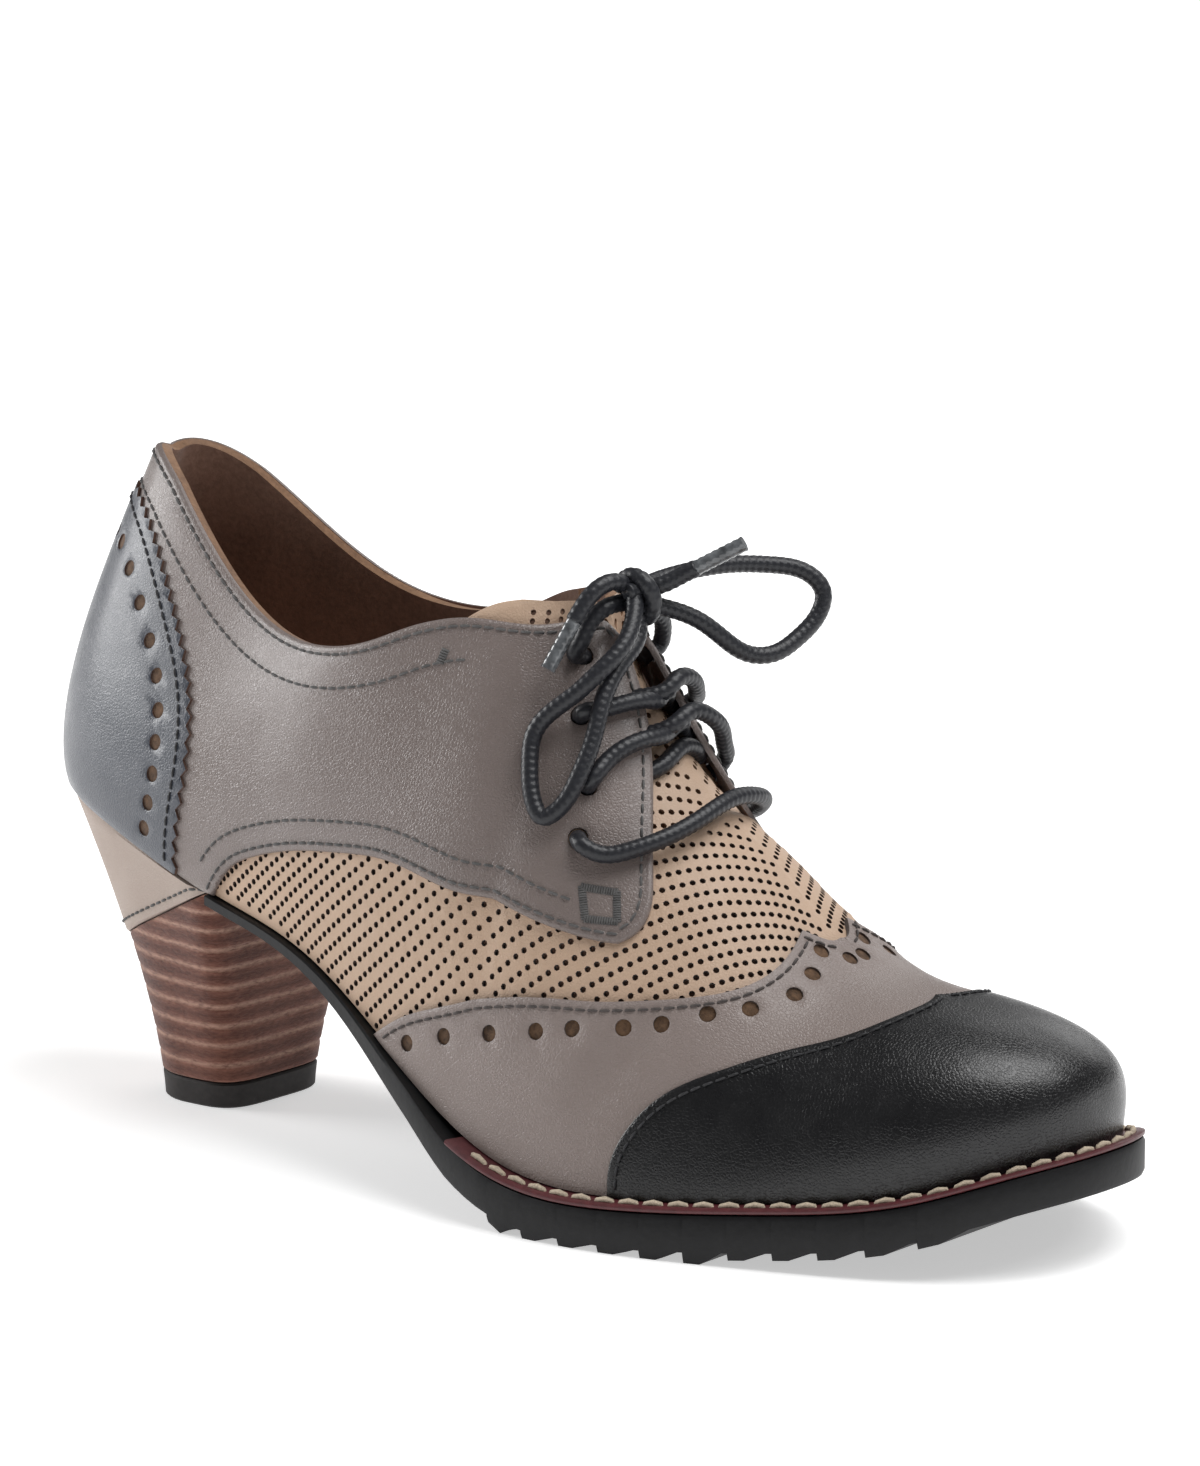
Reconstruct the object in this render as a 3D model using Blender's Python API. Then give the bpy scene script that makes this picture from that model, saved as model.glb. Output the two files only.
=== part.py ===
"""A woman's laced oxford on a stacked heel, for the right foot, standing empty on its sole.

Metres. +X runs to the toe, +Y to the inner side of the foot, +Z up. The origin is the middle of the heel tip's
underside, on the floor. The upper's leather is laid over a last, whose surface is worked out from the tables
below. A place on the last is a side (-1 outer, +1 inner), a station u that runs round the feather edge from the
middle of the heel (0) to the tip of the toe (1), and a height w from the feather edge (0) to the top (1).
"""

import math

import bmesh
import bpy
import numpy as np
from mathutils import Vector
from mathutils.geometry import delaunay_2d_cdt

OUTER, INNER = -1, 1

# The last
LAST_LENGTH = 0.235
BALL_WIDTH = 0.086
HEEL_BACK = 0.035
SEAT_SIDE = 0.002
SEAT_HEIGHT = 0.0602
FOREPART_HEIGHT = 0.0100
TOE_SPRING = 0.0112
BACK_HEIGHT = 0.0685
INSTEP_HEIGHT = 0.102
COLLAR_WIDTH = 0.052
END_ROUNDING = 0.92
RIDGE_START = 0.53

# Leathers and the clearance between neighbours
GAP = 0.0003
LAYER_GAP = 0.0006
TONGUE_DROP = 0.0002
TONGUE_DIP = 0.0030
LINED_WALL = 0.0016
LEATHER = 0.0010
CAP_PROUD = 0.0005
COUNTER_PROUD = 0.0007

# Sole and heel
WELT_THICKNESS = 0.0015
WELT_EDGE = 0.0045
WELT_INSET = 0.0040
WELT_START = 0.53
SHANK_THICKNESS = 0.0022
SOLE_THICKNESS = 0.0063
SHANK_EDGE = 0.0004
BREAST = 0.0180
HEEL_TIP_LENGTH = 0.0240
HEEL_TIP_WIDTH = 0.0290
HEEL_TIP_HEIGHT = 0.0050
HEEL_SPREAD = 1.45
COVER_PROUD = 0.0005
COVER_EDGE_SHARE = 0.64
COVER_EDGE_SLOPE = 0.45
INSOLE_THICKNESS = 0.0025
INSOLE_INSET = 0.0044
LUG_LAND = 0.0030
LUG_DEPTH = 0.0013
LUG_EDGE = 0.0002
LUG_ROOT = 0.0010
LUG_COUNT = 11
LEAST_SPRING = 0.0012
HEEL_MIDDLE = -0.004
CORNER_BLUR = 0.12

# Places along the sole, as shares of LAST_LENGTH: the first lug, the lugs' pitch, the end of the stretch whose rim has
# no lugs, and where the sole starts to thicken and stops
FIRST_LUG = 0.5915
LUG_PITCH = 0.0332
PLAIN_RIM_END = 0.7277
THICKENING = (0.2766, 0.5957)

# Holes and lace
EYELET_RADIUS = 0.0019
LACE_RADIUS = 0.00165
AGLET_RADIUS = 0.00145
AGLET_LENGTH = 0.0100
KNOT_CENTRE = (0.1017, -0.0015, 0.1097)
KNOT_SIZE = (0.0046, 0.0056, 0.0050)
KNOT_FURROW = 0.12
KNOT_FURROW_WIDTH = 0.30
LACE_STEP = 1.3

# Feather edge in plan: station, half breadth on the outer side, on the inner side, as shares of BALL_WIDTH
OUTLINE = (
    (0.00, 0.595, 0.600),
    (0.20, 0.445, 0.430),
    (0.35, 0.405, 0.320),
    (0.50, 0.490, 0.300),
    (0.62, 0.560, 0.380),
    (0.72, 0.545, 0.475),
    (0.82, 0.572, 0.540),
    (0.92, 0.590, 0.550),
    (1.00, 0.590, 0.590),
)
# Swing of the toe to the inner side: share of length, share of BALL_WIDTH
MIDDLE = ((0.00, 0.000), (0.50, 0.000), (0.75, 0.020), (1.00, 0.050))
# Feather edge from the side: share of length, share of the seat's rise, share of TOE_SPRING
BOTTOM = (
    (0.000, 1.00, 0.00),
    (0.100, 0.90, 0.00),
    (0.220, 0.74, 0.00),
    (0.354, 0.59, 0.00),
    (0.486, 0.25, 0.00),
    (0.587, 0.03, 0.00),
    (0.710, -0.01, 0.00),
    (0.830, 0.00, 0.15),
    (0.930, 0.00, 0.50),
    (1.000, 0.00, 1.00),
    (1.030, 0.00, 1.17),
)
# Top of each section: station, share of length, half opening outer and inner as shares of COLLAR_WIDTH,
# rise above the feather edge as a share of BACK_HEIGHT
TOP = (
    (-0.14, 0.129, -0.22, -0.26, 0.994),
    (0.00, 0.075, 0.00, 0.00, 1.015),
    (0.14, 0.129, 0.22, 0.26, 0.994),
    (0.26, 0.262, 0.40, 0.43, 0.812),
    (0.38, 0.396, 0.50, 0.49, 0.960),
    (0.47, 0.496, 0.34, 0.34, 1.290),
    (0.505, 0.540, 0.20, 0.20, 1.370),
    (0.53, 0.556, 0.00, 0.00, 1.410),
    (0.60, 0.628, 0.00, 0.00, 1.040),
    (0.68, 0.712, 0.00, 0.00, 0.790),
    (0.78, 0.781, 0.00, 0.00, 0.570),
    (0.84, 0.826, 0.00, 0.00, 0.510),
    (0.90, 0.860, 0.00, 0.00, 0.480),
    (0.95, 0.880, 0.00, 0.00, 0.460),
    (1.00, 0.893, 0.00, 0.00, 0.445),
)
# Ridge of the instep and toe: share of length, height above the floor as a share of INSTEP_HEIGHT
RIDGE = (
    (0.450, 1.060),
    (0.507, 1.080),
    (0.556, 1.040),
    (0.628, 0.790),
    (0.712, 0.620),
    (0.781, 0.475),
    (0.870, 0.420),
    (0.930, 0.405),
    (1.000, 0.385),
)
# Section shape: station, how far it is a roof over the foot, its fullness, its lean, bulge outer and inner as
# shares of BALL_WIDTH, place of the bulge
SHAPE = (
    (0.00, 0.0, 2.0, 0.0, 0.068, 0.068, 0.66),
    (0.20, 0.0, 2.0, 0.0, 0.052, 0.046, 0.70),
    (0.35, 0.1, 2.0, 0.0, 0.032, 0.023, 0.80),
    (0.47, 0.4, 2.0, 0.0, 0.024, 0.012, 0.80),
    (0.55, 0.8, 2.0, 0.2, 0.012, 0.006, 0.80),
    (0.65, 1.0, 2.0, 0.3, 0.012, 0.008, 0.80),
    (0.80, 1.0, 2.5, 0.0, 0.012, 0.016, 0.80),
    (1.00, 1.0, 3.8, 0.0, 0.010, 0.010, 0.80),
)

# Seams and edges on the last, as (station, height)
COLLAR = ((0.14, 1.0), (0.21, 0.985), (0.30, 0.975), (0.38, 0.965), (0.436, 0.956), (0.50, 0.938), (0.548, 0.962))
FLAP_FRONT = ((0.552, 0.962), (0.568, 0.945), (0.581, 0.915), (0.592, 0.863), (0.604, 0.775), (0.614, 0.690),
              (0.618, 0.628), (0.614, 0.562), (0.606, 0.522))
FLAP_BOTTOM = ((0.606, 0.522), (0.594, 0.497), (0.576, 0.465), (0.550, 0.437), (0.518, 0.417), (0.484, 0.402),
               (0.446, 0.366), (0.412, 0.318), (0.374, 0.262), (0.350, 0.207), (0.332, 0.135), (0.321, 0.0))
WING_EDGE = ((0.462, 0.0), (0.479, 0.088), (0.500, 0.163), (0.537, 0.250), (0.583, 0.350), (0.629, 0.435),
             (0.662, 0.500), (0.688, 0.588), (0.704, 0.690), (0.713, 0.800), (0.716, 0.868))
WING_DIP = ((0.716, 0.868), (0.736, 0.912), (0.750, 0.955), (0.758, 1.0))
CAP_EDGE = ((0.625, 0.0), (0.625, 0.065), (0.633, 0.150), (0.650, 0.238), (0.683, 0.338), (0.725, 0.448),
            (0.775, 0.562), (0.825, 0.725), (0.860, 0.870), (0.887, 1.0))
COUNTER_EDGE = ((0.0, 0.880), (0.080, 0.868), (0.163, 0.812), (0.200, 0.738), (0.242, 0.588), (0.267, 0.375),
                (0.279, 0.163), (0.287, 0.0))
SLOT_EDGE = ((0.436, 0.956), (0.445, 0.870), (0.480, 0.790), (0.520, 0.730), (0.560, 0.700), (0.595, 0.710),
             (0.618, 0.790), (0.636, 0.900), (0.640, 1.0))
TONGUE_EDGE = ((0.446, 0.930), (0.452, 0.872), (0.484, 0.797), (0.522, 0.739), (0.560, 0.709), (0.592, 0.719),
               (0.614, 0.796), (0.632, 0.905), (0.636, 1.0))
TONGUE_TOP = ((0.446, 0.930), (0.456, 0.962), (0.466, 0.985), (0.480, 1.0))
EYELETS = ((0.571, 0.625), (0.567, 0.713), (0.550, 0.790), (0.533, 0.868))
# Stretch of the tongue that the crossings press in: stations, then heights from no dip to the full one
DIP_STATIONS = (0.490, 0.620)
DIP_HEIGHTS = (0.74, 0.82)

# Lace over the flaps: side, station, height, lift of the lace's middle above the leather in lace radii
LACE_BAR = (
    (OUTER, 0.574, 0.618, 1.25), (OUTER, 0.583, 0.632, 1.30), (OUTER, 0.597, 0.690, 1.35),
    (OUTER, 0.611, 0.772, 1.35), (OUTER, 0.622, 0.876, 1.30), (OUTER, 0.628, 1.000, 1.40),
    (INNER, 0.619, 0.900, 1.60), (INNER, 0.606, 0.810, 1.70), (INNER, 0.590, 0.715, 1.50),
    (INNER, 0.575, 0.638, 1.25),
)
LOWER_CROSSING = (
    ((OUTER, 0.568, 0.722, 1.25), (OUTER, 0.570, 0.760, 1.25), (OUTER, 0.574, 0.815, 1.35),
     (OUTER, 0.580, 0.875, 1.40), (OUTER, 0.585, 0.930, 0.70), (OUTER, 0.586, 0.976, -0.15),
     (INNER, 0.584, 0.972, -0.55)),
    ((INNER, 0.568, 0.730, 1.25), (INNER, 0.575, 0.800, 1.50), (INNER, 0.581, 0.880, 2.10),
     (INNER, 0.584, 0.945, 2.40), (INNER, 0.585, 1.000, 2.10), (OUTER, 0.585, 0.965, 1.45)),
)
UPPER_CROSSING = (
    ((OUTER, 0.552, 0.796, 1.25), (OUTER, 0.557, 0.820, 1.25), (OUTER, 0.564, 0.865, 1.35),
     (OUTER, 0.571, 0.920, 1.35), (OUTER, 0.575, 0.960, 0.50), (OUTER, 0.575, 0.990, -0.15),
     (INNER, 0.574, 0.985, -0.40)),
    ((INNER, 0.552, 0.800, 1.25), (INNER, 0.561, 0.860, 1.50), (INNER, 0.568, 0.930, 2.10),
     (INNER, 0.573, 1.000, 2.10), (OUTER, 0.574, 0.975, 1.50)),
)
# The bow, as points through which each stretch runs
RISE_OUTER = ((0.0960, -0.0122, 0.1001), (0.0971, -0.0119, 0.1022), (0.0978, -0.0106, 0.1052),
              (0.0994, -0.0067, 0.1084))
RISE_INNER = ((0.0962, 0.0123, 0.0981), (0.0971, 0.0122, 0.1004), (0.0983, 0.0104, 0.1034),
              (0.0991, 0.0070, 0.1057), (0.0997, 0.0033, 0.1073))
LOOP_OUTER = ((0.1033, -0.0027, 0.1039), (0.1046, -0.0095, 0.0987), (0.1055, -0.0162, 0.0923),
              (0.1063, -0.0196, 0.0866), (0.1063, -0.0240, 0.0801), (0.1044, -0.0268, 0.0749),
              (0.1017, -0.0284, 0.0730), (0.0990, -0.0280, 0.0758), (0.0965, -0.0258, 0.0816),
              (0.0956, -0.0232, 0.0872), (0.0979, -0.0214, 0.0908), (0.1017, -0.0190, 0.0943),
              (0.1049, -0.0160, 0.0984), (0.1063, -0.0117, 0.1020), (0.1046, -0.0057, 0.1074))
LOOP_INNER = ((0.1013, 0.0041, 0.1117), (0.1043, 0.0130, 0.1131), (0.1076, 0.0207, 0.1134),
              (0.1113, 0.0270, 0.1128), (0.1160, 0.0320, 0.1109), (0.1183, 0.0332, 0.1078),
              (0.1185, 0.0318, 0.1039), (0.1173, 0.0273, 0.0999), (0.1155, 0.0215, 0.0973),
              (0.1134, 0.0175, 0.0976), (0.1112, 0.0126, 0.1009), (0.1083, 0.0086, 0.1047),
              (0.1040, 0.0033, 0.1074))
END_OUTER = ((0.1006, -0.0070, 0.1131), (0.0998, -0.0104, 0.1122), (0.0986, -0.0133, 0.1091),
             (0.0979, -0.0148, 0.1066))
END_INNER = ((0.1051, 0.0021, 0.1119), (0.1074, 0.0044, 0.1134), (0.1099, 0.0060, 0.1150))
# Clearances between leathers that meet: in stations at the middle of the back, along the counter and along the cap,
# and in heights over the counter
BACK_CLEARANCE, COUNTER_CLEARANCE, CAP_CLEARANCE, OVER_COUNTER = 0.001, 0.00267, 0.0040, 0.009

# Facets of the leather
STATIONS = tuple(np.linspace(0, 0.53, 19)) + tuple(np.linspace(0.53, 1, 19))[1:]
HEIGHTS = (0.0, 0.12, 0.25, 0.38, 0.51, 0.62, 0.72, 0.80, 0.87, 0.94, 1.0)
TOE_CORNER = (0.986, 0.95)
EDGE_STEP = 0.0060
KEEP_CLEAR = 0.0018
# Height of a side when it is laid out flat to be cut into facets
FLAT_HEIGHT = 0.076

FINE_STATIONS, FINE_HEIGHTS, PROFILE_STEPS = 201, 41, 60

COLOURS = {
    "taupe_leather": ((0.29, 0.24, 0.21), 0.45, 0.0),
    "beige_leather": ((0.55, 0.43, 0.32), 0.6, 0.0),
    "black_leather": ((0.012, 0.012, 0.014), 0.3, 0.0),
    "navy_leather": ((0.03, 0.035, 0.05), 0.35, 0.0),
    "lining": ((0.12, 0.07, 0.045), 0.9, 0.0),
    "sole_rubber": ((0.015, 0.015, 0.017), 0.6, 0.0),
    "welt": ((0.12, 0.025, 0.03), 0.5, 0.0),
    "stacked_heel": ((0.19, 0.075, 0.045), 0.8, 0.0),
    "heel_tip_rubber": ((0.04, 0.042, 0.045), 0.7, 0.0),
    "lace": ((0.012, 0.012, 0.014), 0.5, 0.0),
    "aglet": ((0.25, 0.27, 0.29), 0.2, 0.0),
}


def spline(table, column, at):
    """The natural cubic spline through a table's first column and another one."""
    xs = np.array([row[0] for row in table])
    ys = np.array([row[column] for row in table])
    at = np.clip(np.asarray(at, float), xs[0], xs[-1])
    gaps = np.diff(xs)
    n = len(xs)
    rows, right = np.eye(n), np.zeros(n)
    for i in range(1, n - 1):
        rows[i, i - 1:i + 2] = gaps[i - 1], 2 * (gaps[i - 1] + gaps[i]), gaps[i]
        right[i] = 6 * ((ys[i + 1] - ys[i]) / gaps[i] - (ys[i] - ys[i - 1]) / gaps[i - 1])
    bend = np.linalg.solve(rows, right)
    k = np.clip(np.searchsorted(xs, at) - 1, 0, n - 2)
    gap, left, over = gaps[k], xs[k + 1] - at, at - xs[k]
    curved = (bend[k] * left ** 3 + bend[k + 1] * over ** 3) / (6 * gap)
    return curved + (ys[k] / gap - bend[k] * gap / 6) * left + (ys[k + 1] / gap - bend[k + 1] * gap / 6) * over


def x_at(share):
    return LAST_LENGTH * share - HEEL_BACK


def share_at(x):
    return (np.asarray(x, float) + HEEL_BACK) / LAST_LENGTH


def share_of(u):
    return (1 - np.cos(np.pi * np.asarray(u, float))) / 2


def feather_height(share):
    rise = SEAT_HEIGHT - FOREPART_HEIGHT
    return FOREPART_HEIGHT + rise * spline(BOTTOM, 1, share) + TOE_SPRING * spline(BOTTOM, 2, share)


def side_column(side, first):
    return first if side == OUTER else first + 1


def feather_plan(side, u):
    """The feather edge from above."""
    u = np.asarray(u, float)
    share = share_of(u)
    rounded = np.abs(np.sin(np.pi * u)) ** END_ROUNDING
    half = BALL_WIDTH * spline(OUTLINE, side_column(side, 1), u) * rounded
    return np.stack([x_at(share), SEAT_SIDE + BALL_WIDTH * spline(MIDDLE, 1, share) + side * half], -1)


def outward(side, u):
    """The way out from the feather edge, from above."""
    u = np.asarray(u, float)
    step = 1e-3
    way = feather_plan(side, np.clip(u + step, 0, 1)) - feather_plan(side, np.clip(u - step, 0, 1))
    out = np.stack([side * -way[..., 1], side * way[..., 0]], -1)
    out = out / np.linalg.norm(out, axis=-1, keepdims=True)
    out[u <= 0] = (-1, 0)
    out[u >= 1] = (1, 0)
    return out


def sections(side, stations):
    """The last's surface: a section for each station, with its points evenly spaced from feather edge to top."""
    turn = np.linspace(0, 1, PROFILE_STEPS)
    angle = turn * np.pi / 2
    found = []
    for u, low, out in zip(stations, feather_plan(side, stations), outward(side, stations)):
        roof, full, lean = (float(spline(SHAPE, column, u)) for column in (1, 2, 3))
        bulge = float(spline(SHAPE, side_column(side, 4), u)) * BALL_WIDTH
        place = float(spline(SHAPE, 6, u))
        roof = min(max(roof, 0), 1)
        foot = float(feather_height(share_of(u)))
        share = float(spline(TOP, 1, u))
        opening = float(spline(TOP, side_column(side, 2), u)) * COLLAR_WIDTH if u < RIDGE_START - 1e-9 else 0
        middle = SEAT_SIDE + BALL_WIDTH * float(spline(MIDDLE, 1, share))
        top = np.array([x_at(share), middle + side * opening])
        rim = float(feather_height(share)) + BACK_HEIGHT * float(spline(TOP, 4, u))
        round_in = (1 - lean) * (1 - np.cos(angle) ** (2 / full)) + lean * turn
        inward = roof * round_in + (1 - roof) * turn
        upward = roof * np.sin(angle) ** (2 / full) + (1 - roof) * turn
        swell = bulge * np.sin(np.pi * turn ** place)
        flat = low + (top - low) * inward[:, None] + out * swell[:, None]
        crown = (1 - roof) * rim + roof * INSTEP_HEIGHT * spline(RIDGE, 1, share_at(flat[:, 0]))
        points = np.column_stack([flat, foot + (crown - foot) * upward])
        run = np.append(0, np.cumsum(np.linalg.norm(np.diff(points, axis=0), axis=1)))
        even = np.linspace(0, run[-1], FINE_HEIGHTS)
        found.append(np.column_stack([np.interp(even, run, points[:, i]) for i in range(3)]))
    return np.array(found)


class Last:
    """Both sides of the last's surface on a fine grid, with the way out at each point."""

    def __init__(self):
        self.stations = np.linspace(0, 1, FINE_STATIONS)
        self.points = {side: sections(side, self.stations) for side in (OUTER, INNER)}
        self.outs = {side: self.directions(side) for side in (OUTER, INNER)}
        ridge = self.stations > RIDGE_START - 1e-9
        for seam in ((ridge, -1), (0, slice(None)), (-1, slice(None))):
            shared = self.outs[OUTER][seam] + self.outs[INNER][seam]
            for side in (OUTER, INNER):
                self.outs[side][seam] = shared / np.linalg.norm(shared, axis=-1, keepdims=True)
        for side in (OUTER, INNER):
            level = self.outs[side][:, 0] * (1, 1, 0)
            self.outs[side][:, 0] = level / np.linalg.norm(level, axis=-1, keepdims=True)

    def directions(self, side):
        near, far = self.points[side], self.points[-side]
        along_u = np.concatenate([far[1:2], near, far[-2:-1]])
        step_u = along_u[2:] - along_u[:-2]
        over = 2 * near[:, -1:] - near[:, -2:-1]
        ridge = self.stations > RIDGE_START - 1e-9
        over[ridge] = far[ridge, -2:-1]
        under = 2 * near[:, :1] - near[:, 1:2]
        along_w = np.concatenate([under, near, over], 1)
        out = side * np.cross(along_w[:, 2:] - along_w[:, :-2], step_u)
        out[-1, -1] = out[-2, -1]
        return out / np.linalg.norm(out, axis=-1, keepdims=True)

    def at(self, side, u, w, depth=0.0):
        """Points at stations u and heights w, moved out by depth."""
        u, w = np.broadcast_arrays(np.asarray(u, float), np.asarray(w, float))
        i, a = np.divmod(np.clip(u, 0, 1) * (FINE_STATIONS - 1), 1)
        j, b = np.divmod(np.clip(w, 0, 1) * (FINE_HEIGHTS - 1), 1)
        i, j = i.astype(int), j.astype(int)
        i2, j2 = np.minimum(i + 1, FINE_STATIONS - 1), np.minimum(j + 1, FINE_HEIGHTS - 1)
        a, b = a[..., None], b[..., None]

        def blend(grid):
            near = grid[i, j] * (1 - b) + grid[i, j2] * b
            far = grid[i2, j] * (1 - b) + grid[i2, j2] * b
            return near * (1 - a) + far * a

        out = blend(self.outs[side])
        out = out / np.linalg.norm(out, axis=-1, keepdims=True)
        return blend(self.points[side]) + out * np.asarray(depth)[..., None]


LAST = Last()


def material(slot):
    found = bpy.data.materials.get(slot)
    if found:
        return found
    colour, roughness, metallic = COLOURS[slot]
    made = bpy.data.materials.new(slot)
    made.use_nodes = True
    shader = made.node_tree.nodes["Principled BSDF"]
    shader.inputs["Base Color"].default_value = (*colour, 1)
    shader.inputs["Roughness"].default_value = roughness
    shader.inputs["Metallic"].default_value = metallic
    return made


def add_object(name, mesh_or_curve, slot):
    made = bpy.data.objects.new(name, mesh_or_curve)
    bpy.context.scene.collection.objects.link(made)
    mesh_or_curve.materials.append(material(slot))
    return made


def add_mesh(name, points, faces, slot, sharp_degrees=40):
    """A closed mesh object, with points that coincide made one."""
    mesh = bpy.data.meshes.new(name)
    mesh.from_pydata([tuple(map(float, point)) for point in points], [], faces)
    shape = bmesh.new()
    shape.from_mesh(mesh)
    bmesh.ops.remove_doubles(shape, verts=shape.verts, dist=1e-6)
    bmesh.ops.triangulate(shape, faces=shape.faces)
    bmesh.ops.recalc_face_normals(shape, faces=shape.faces)
    shape.to_mesh(mesh)
    shape.free()
    mesh.shade_smooth()
    mesh.set_sharp_from_angle(angle=math.radians(sharp_degrees))
    return add_object(name, mesh, slot)


def through(points, step=EDGE_STEP, side=OUTER):
    """(station, height) pairs along a smooth curve through points, about one step apart."""
    points = np.array(points)
    chord = np.linalg.norm(np.diff(LAST.at(side, points[:, 0], points[:, 1]), axis=0), axis=1)
    run = np.append(0, np.cumsum(chord))
    table = np.column_stack([run, points])
    count = max(2, int(math.ceil(run[-1] / step)) + 1)
    even = np.linspace(0, run[-1], count)
    return [(round(float(spline(table, 1, t)), 8), round(float(spline(table, 2, t)), 8)) for t in even]


def along_border(start, end):
    """Points on a border of the surface, from start to end, at the facets' own stations and heights."""
    axis = 0 if start[1] == end[1] else 1
    stops = np.array(STATIONS if axis == 0 else HEIGHTS)
    low, high = sorted((start[axis], end[axis]))
    inner = sorted(t for t in stops if low + 1e-3 < t < high - 1e-3)
    if start[axis] > end[axis]:
        inner.reverse()
    between = [(float(t), start[1]) if axis == 0 else (start[0], float(t)) for t in inner]
    return [start, *between, end]


def joined(*runs):
    """One closed outline from runs of points, each starting where the last one ended."""
    outline = []
    for run in runs:
        for point in run:
            if not outline or math.dist(point, outline[-1]) > 1e-6:
                outline.append(tuple(point))
    if math.dist(outline[0], outline[-1]) < 1e-6:
        outline.pop()
    return outline


def inside(points, outline):
    """Which points lie inside a closed outline."""
    points, outline = np.asarray(points), np.asarray(outline)
    found = np.zeros(len(points), bool)
    for a, b in zip(outline, np.roll(outline, -1, axis=0)):
        crosses = (a[1] > points[:, 1]) != (b[1] > points[:, 1])
        rise = b[1] - a[1] if b[1] != a[1] else 1e-12
        found ^= crosses & (points[:, 0] < (b[0] - a[0]) * (points[:, 1] - a[1]) / rise + a[0])
    return found


def hole_outline(side, u, w, radius, sides=8):
    """The outline of a round hole at a place on the last."""
    step = 1e-3
    long = np.linalg.norm(LAST.at(side, u + step, w) - LAST.at(side, u - step, w)) / (2 * step)
    tall = np.linalg.norm(LAST.at(side, u, w + step) - LAST.at(side, u, w - step)) / (2 * step)
    turns = [2 * math.pi * k / sides for k in range(sides)]
    return [(u + radius * math.cos(t) / long, w + radius * math.sin(t) / tall) for t in turns]


def is_seam(p, q):
    """Whether the edge from p to q lies where the two sides of the last meet."""
    ends = any(abs(p[0] - end) + abs(q[0] - end) < 1e-7 for end in (0, 1))
    ridge = p[1] + q[1] > 2 - 1e-7 and min(p[0], q[0]) >= RIDGE_START - 1e-6
    return ends or ridge


def leather(name, outlines, inner, outer, slot, holes=()):
    """A sheet on the last between two depths. outlines gives each side's closed outline as (station, height).

    A depth is a number or a function of stations and heights.
    """
    points, faces = [], []
    for side, outline in outlines.items():
        rings = [hole_outline(side, u, w, radius) for u, w, radius in holes]
        grid = np.array([(u, w) for u in STATIONS for w in HEIGHTS] + [TOE_CORNER])
        grid = grid[inside(grid, outline)]
        border = np.array(list(outline) + [point for ring in rings for point in ring])
        cut = np.array([point for point in border if not is_seam(point, point)])
        around = LAST.at(side, cut[:, 0], cut[:, 1])
        near = LAST.at(side, grid[:, 0], grid[:, 1])[:, None] - around[None]
        grid = grid[np.linalg.norm(near, axis=-1).min(1) > KEEP_CLEAR]
        for ring in rings:
            grid = grid[~inside(grid, ring)]
        places = np.concatenate([border, grid])
        edges, start = [], 0
        for ring in [outline, *rings]:
            count = len(ring)
            edges += [(start + k, start + (k + 1) % count) for k in range(count)]
            start += count
        steps = np.linalg.norm(np.diff(feather_plan(side, LAST.stations), axis=0), axis=1)
        girth = np.interp(places[:, 0], LAST.stations, np.append(0, np.cumsum(steps)))
        flat = [Vector((float(g), float(w) * FLAT_HEIGHT)) for g, w in zip(girth, places[:, 1])]
        _, _, triangles, origin, _, _ = delaunay_2d_cdt(flat, edges, [], 0, 1e-9)
        index = [min(group) for group in origin]
        triangles = [[index[k] for k in triangle] for triangle in triangles]
        middles = np.array([places[triangle].mean(0) for triangle in triangles])
        keep = inside(middles, outline)
        for ring in rings:
            keep &= ~inside(middles, ring)
        triangles = [triangle for triangle, kept in zip(triangles, keep) if kept]
        base, count = len(points), len(places)
        for depth in (inner, outer):
            deep = depth(places[:, 0], places[:, 1]) if callable(depth) else depth
            points += list(LAST.at(side, places[:, 0], places[:, 1], deep))
        used = {}
        for a, b, c in triangles:
            faces += [(base + a, base + b, base + c), (base + count + c, base + count + b, base + count + a)]
            for p, q in ((a, b), (b, c), (c, a)):
                used[(p, q)] = used.get((p, q), 0) + 1
        for p, q in used:
            if (q, p) not in used and not is_seam(places[p], places[q]):
                faces.append((base + p, base + q, base + count + q, base + count + p))
    return add_mesh(name, points, faces, slot)


def both(outline):
    return {OUTER: outline, INNER: outline}


def add_upper():
    outline = joined(
        along_border((0.0, 0.0), (0.0, 1.0)),
        along_border((0.0, 1.0), (COLLAR[0][0], 1.0)),
        through(COLLAR[:5]),
        through(SLOT_EDGE),
        along_border(SLOT_EDGE[-1], (1.0, 1.0)),
        along_border((1.0, 1.0), (1.0, 0.0)),
        along_border((1.0, 0.0), (0.0, 0.0)),
    )
    return leather("upper", both(outline), -LEATHER - LAYER_GAP - LINED_WALL, -LEATHER - LAYER_GAP, "beige_leather")


def tongue_depth(u, w):
    """How deep the tongue's face lies, with the dip that leaves the lace room under the flaps."""
    along = np.clip((u - DIP_STATIONS[0]) / (DIP_STATIONS[1] - DIP_STATIONS[0]), 0, 1)
    up = np.clip((w - DIP_HEIGHTS[0]) / (DIP_HEIGHTS[1] - DIP_HEIGHTS[0]), 0, 1)
    dip = np.sin(np.pi * along) ** 2 * up * up * (3 - 2 * up)
    return -LEATHER - LAYER_GAP - TONGUE_DROP - TONGUE_DIP * dip


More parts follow.
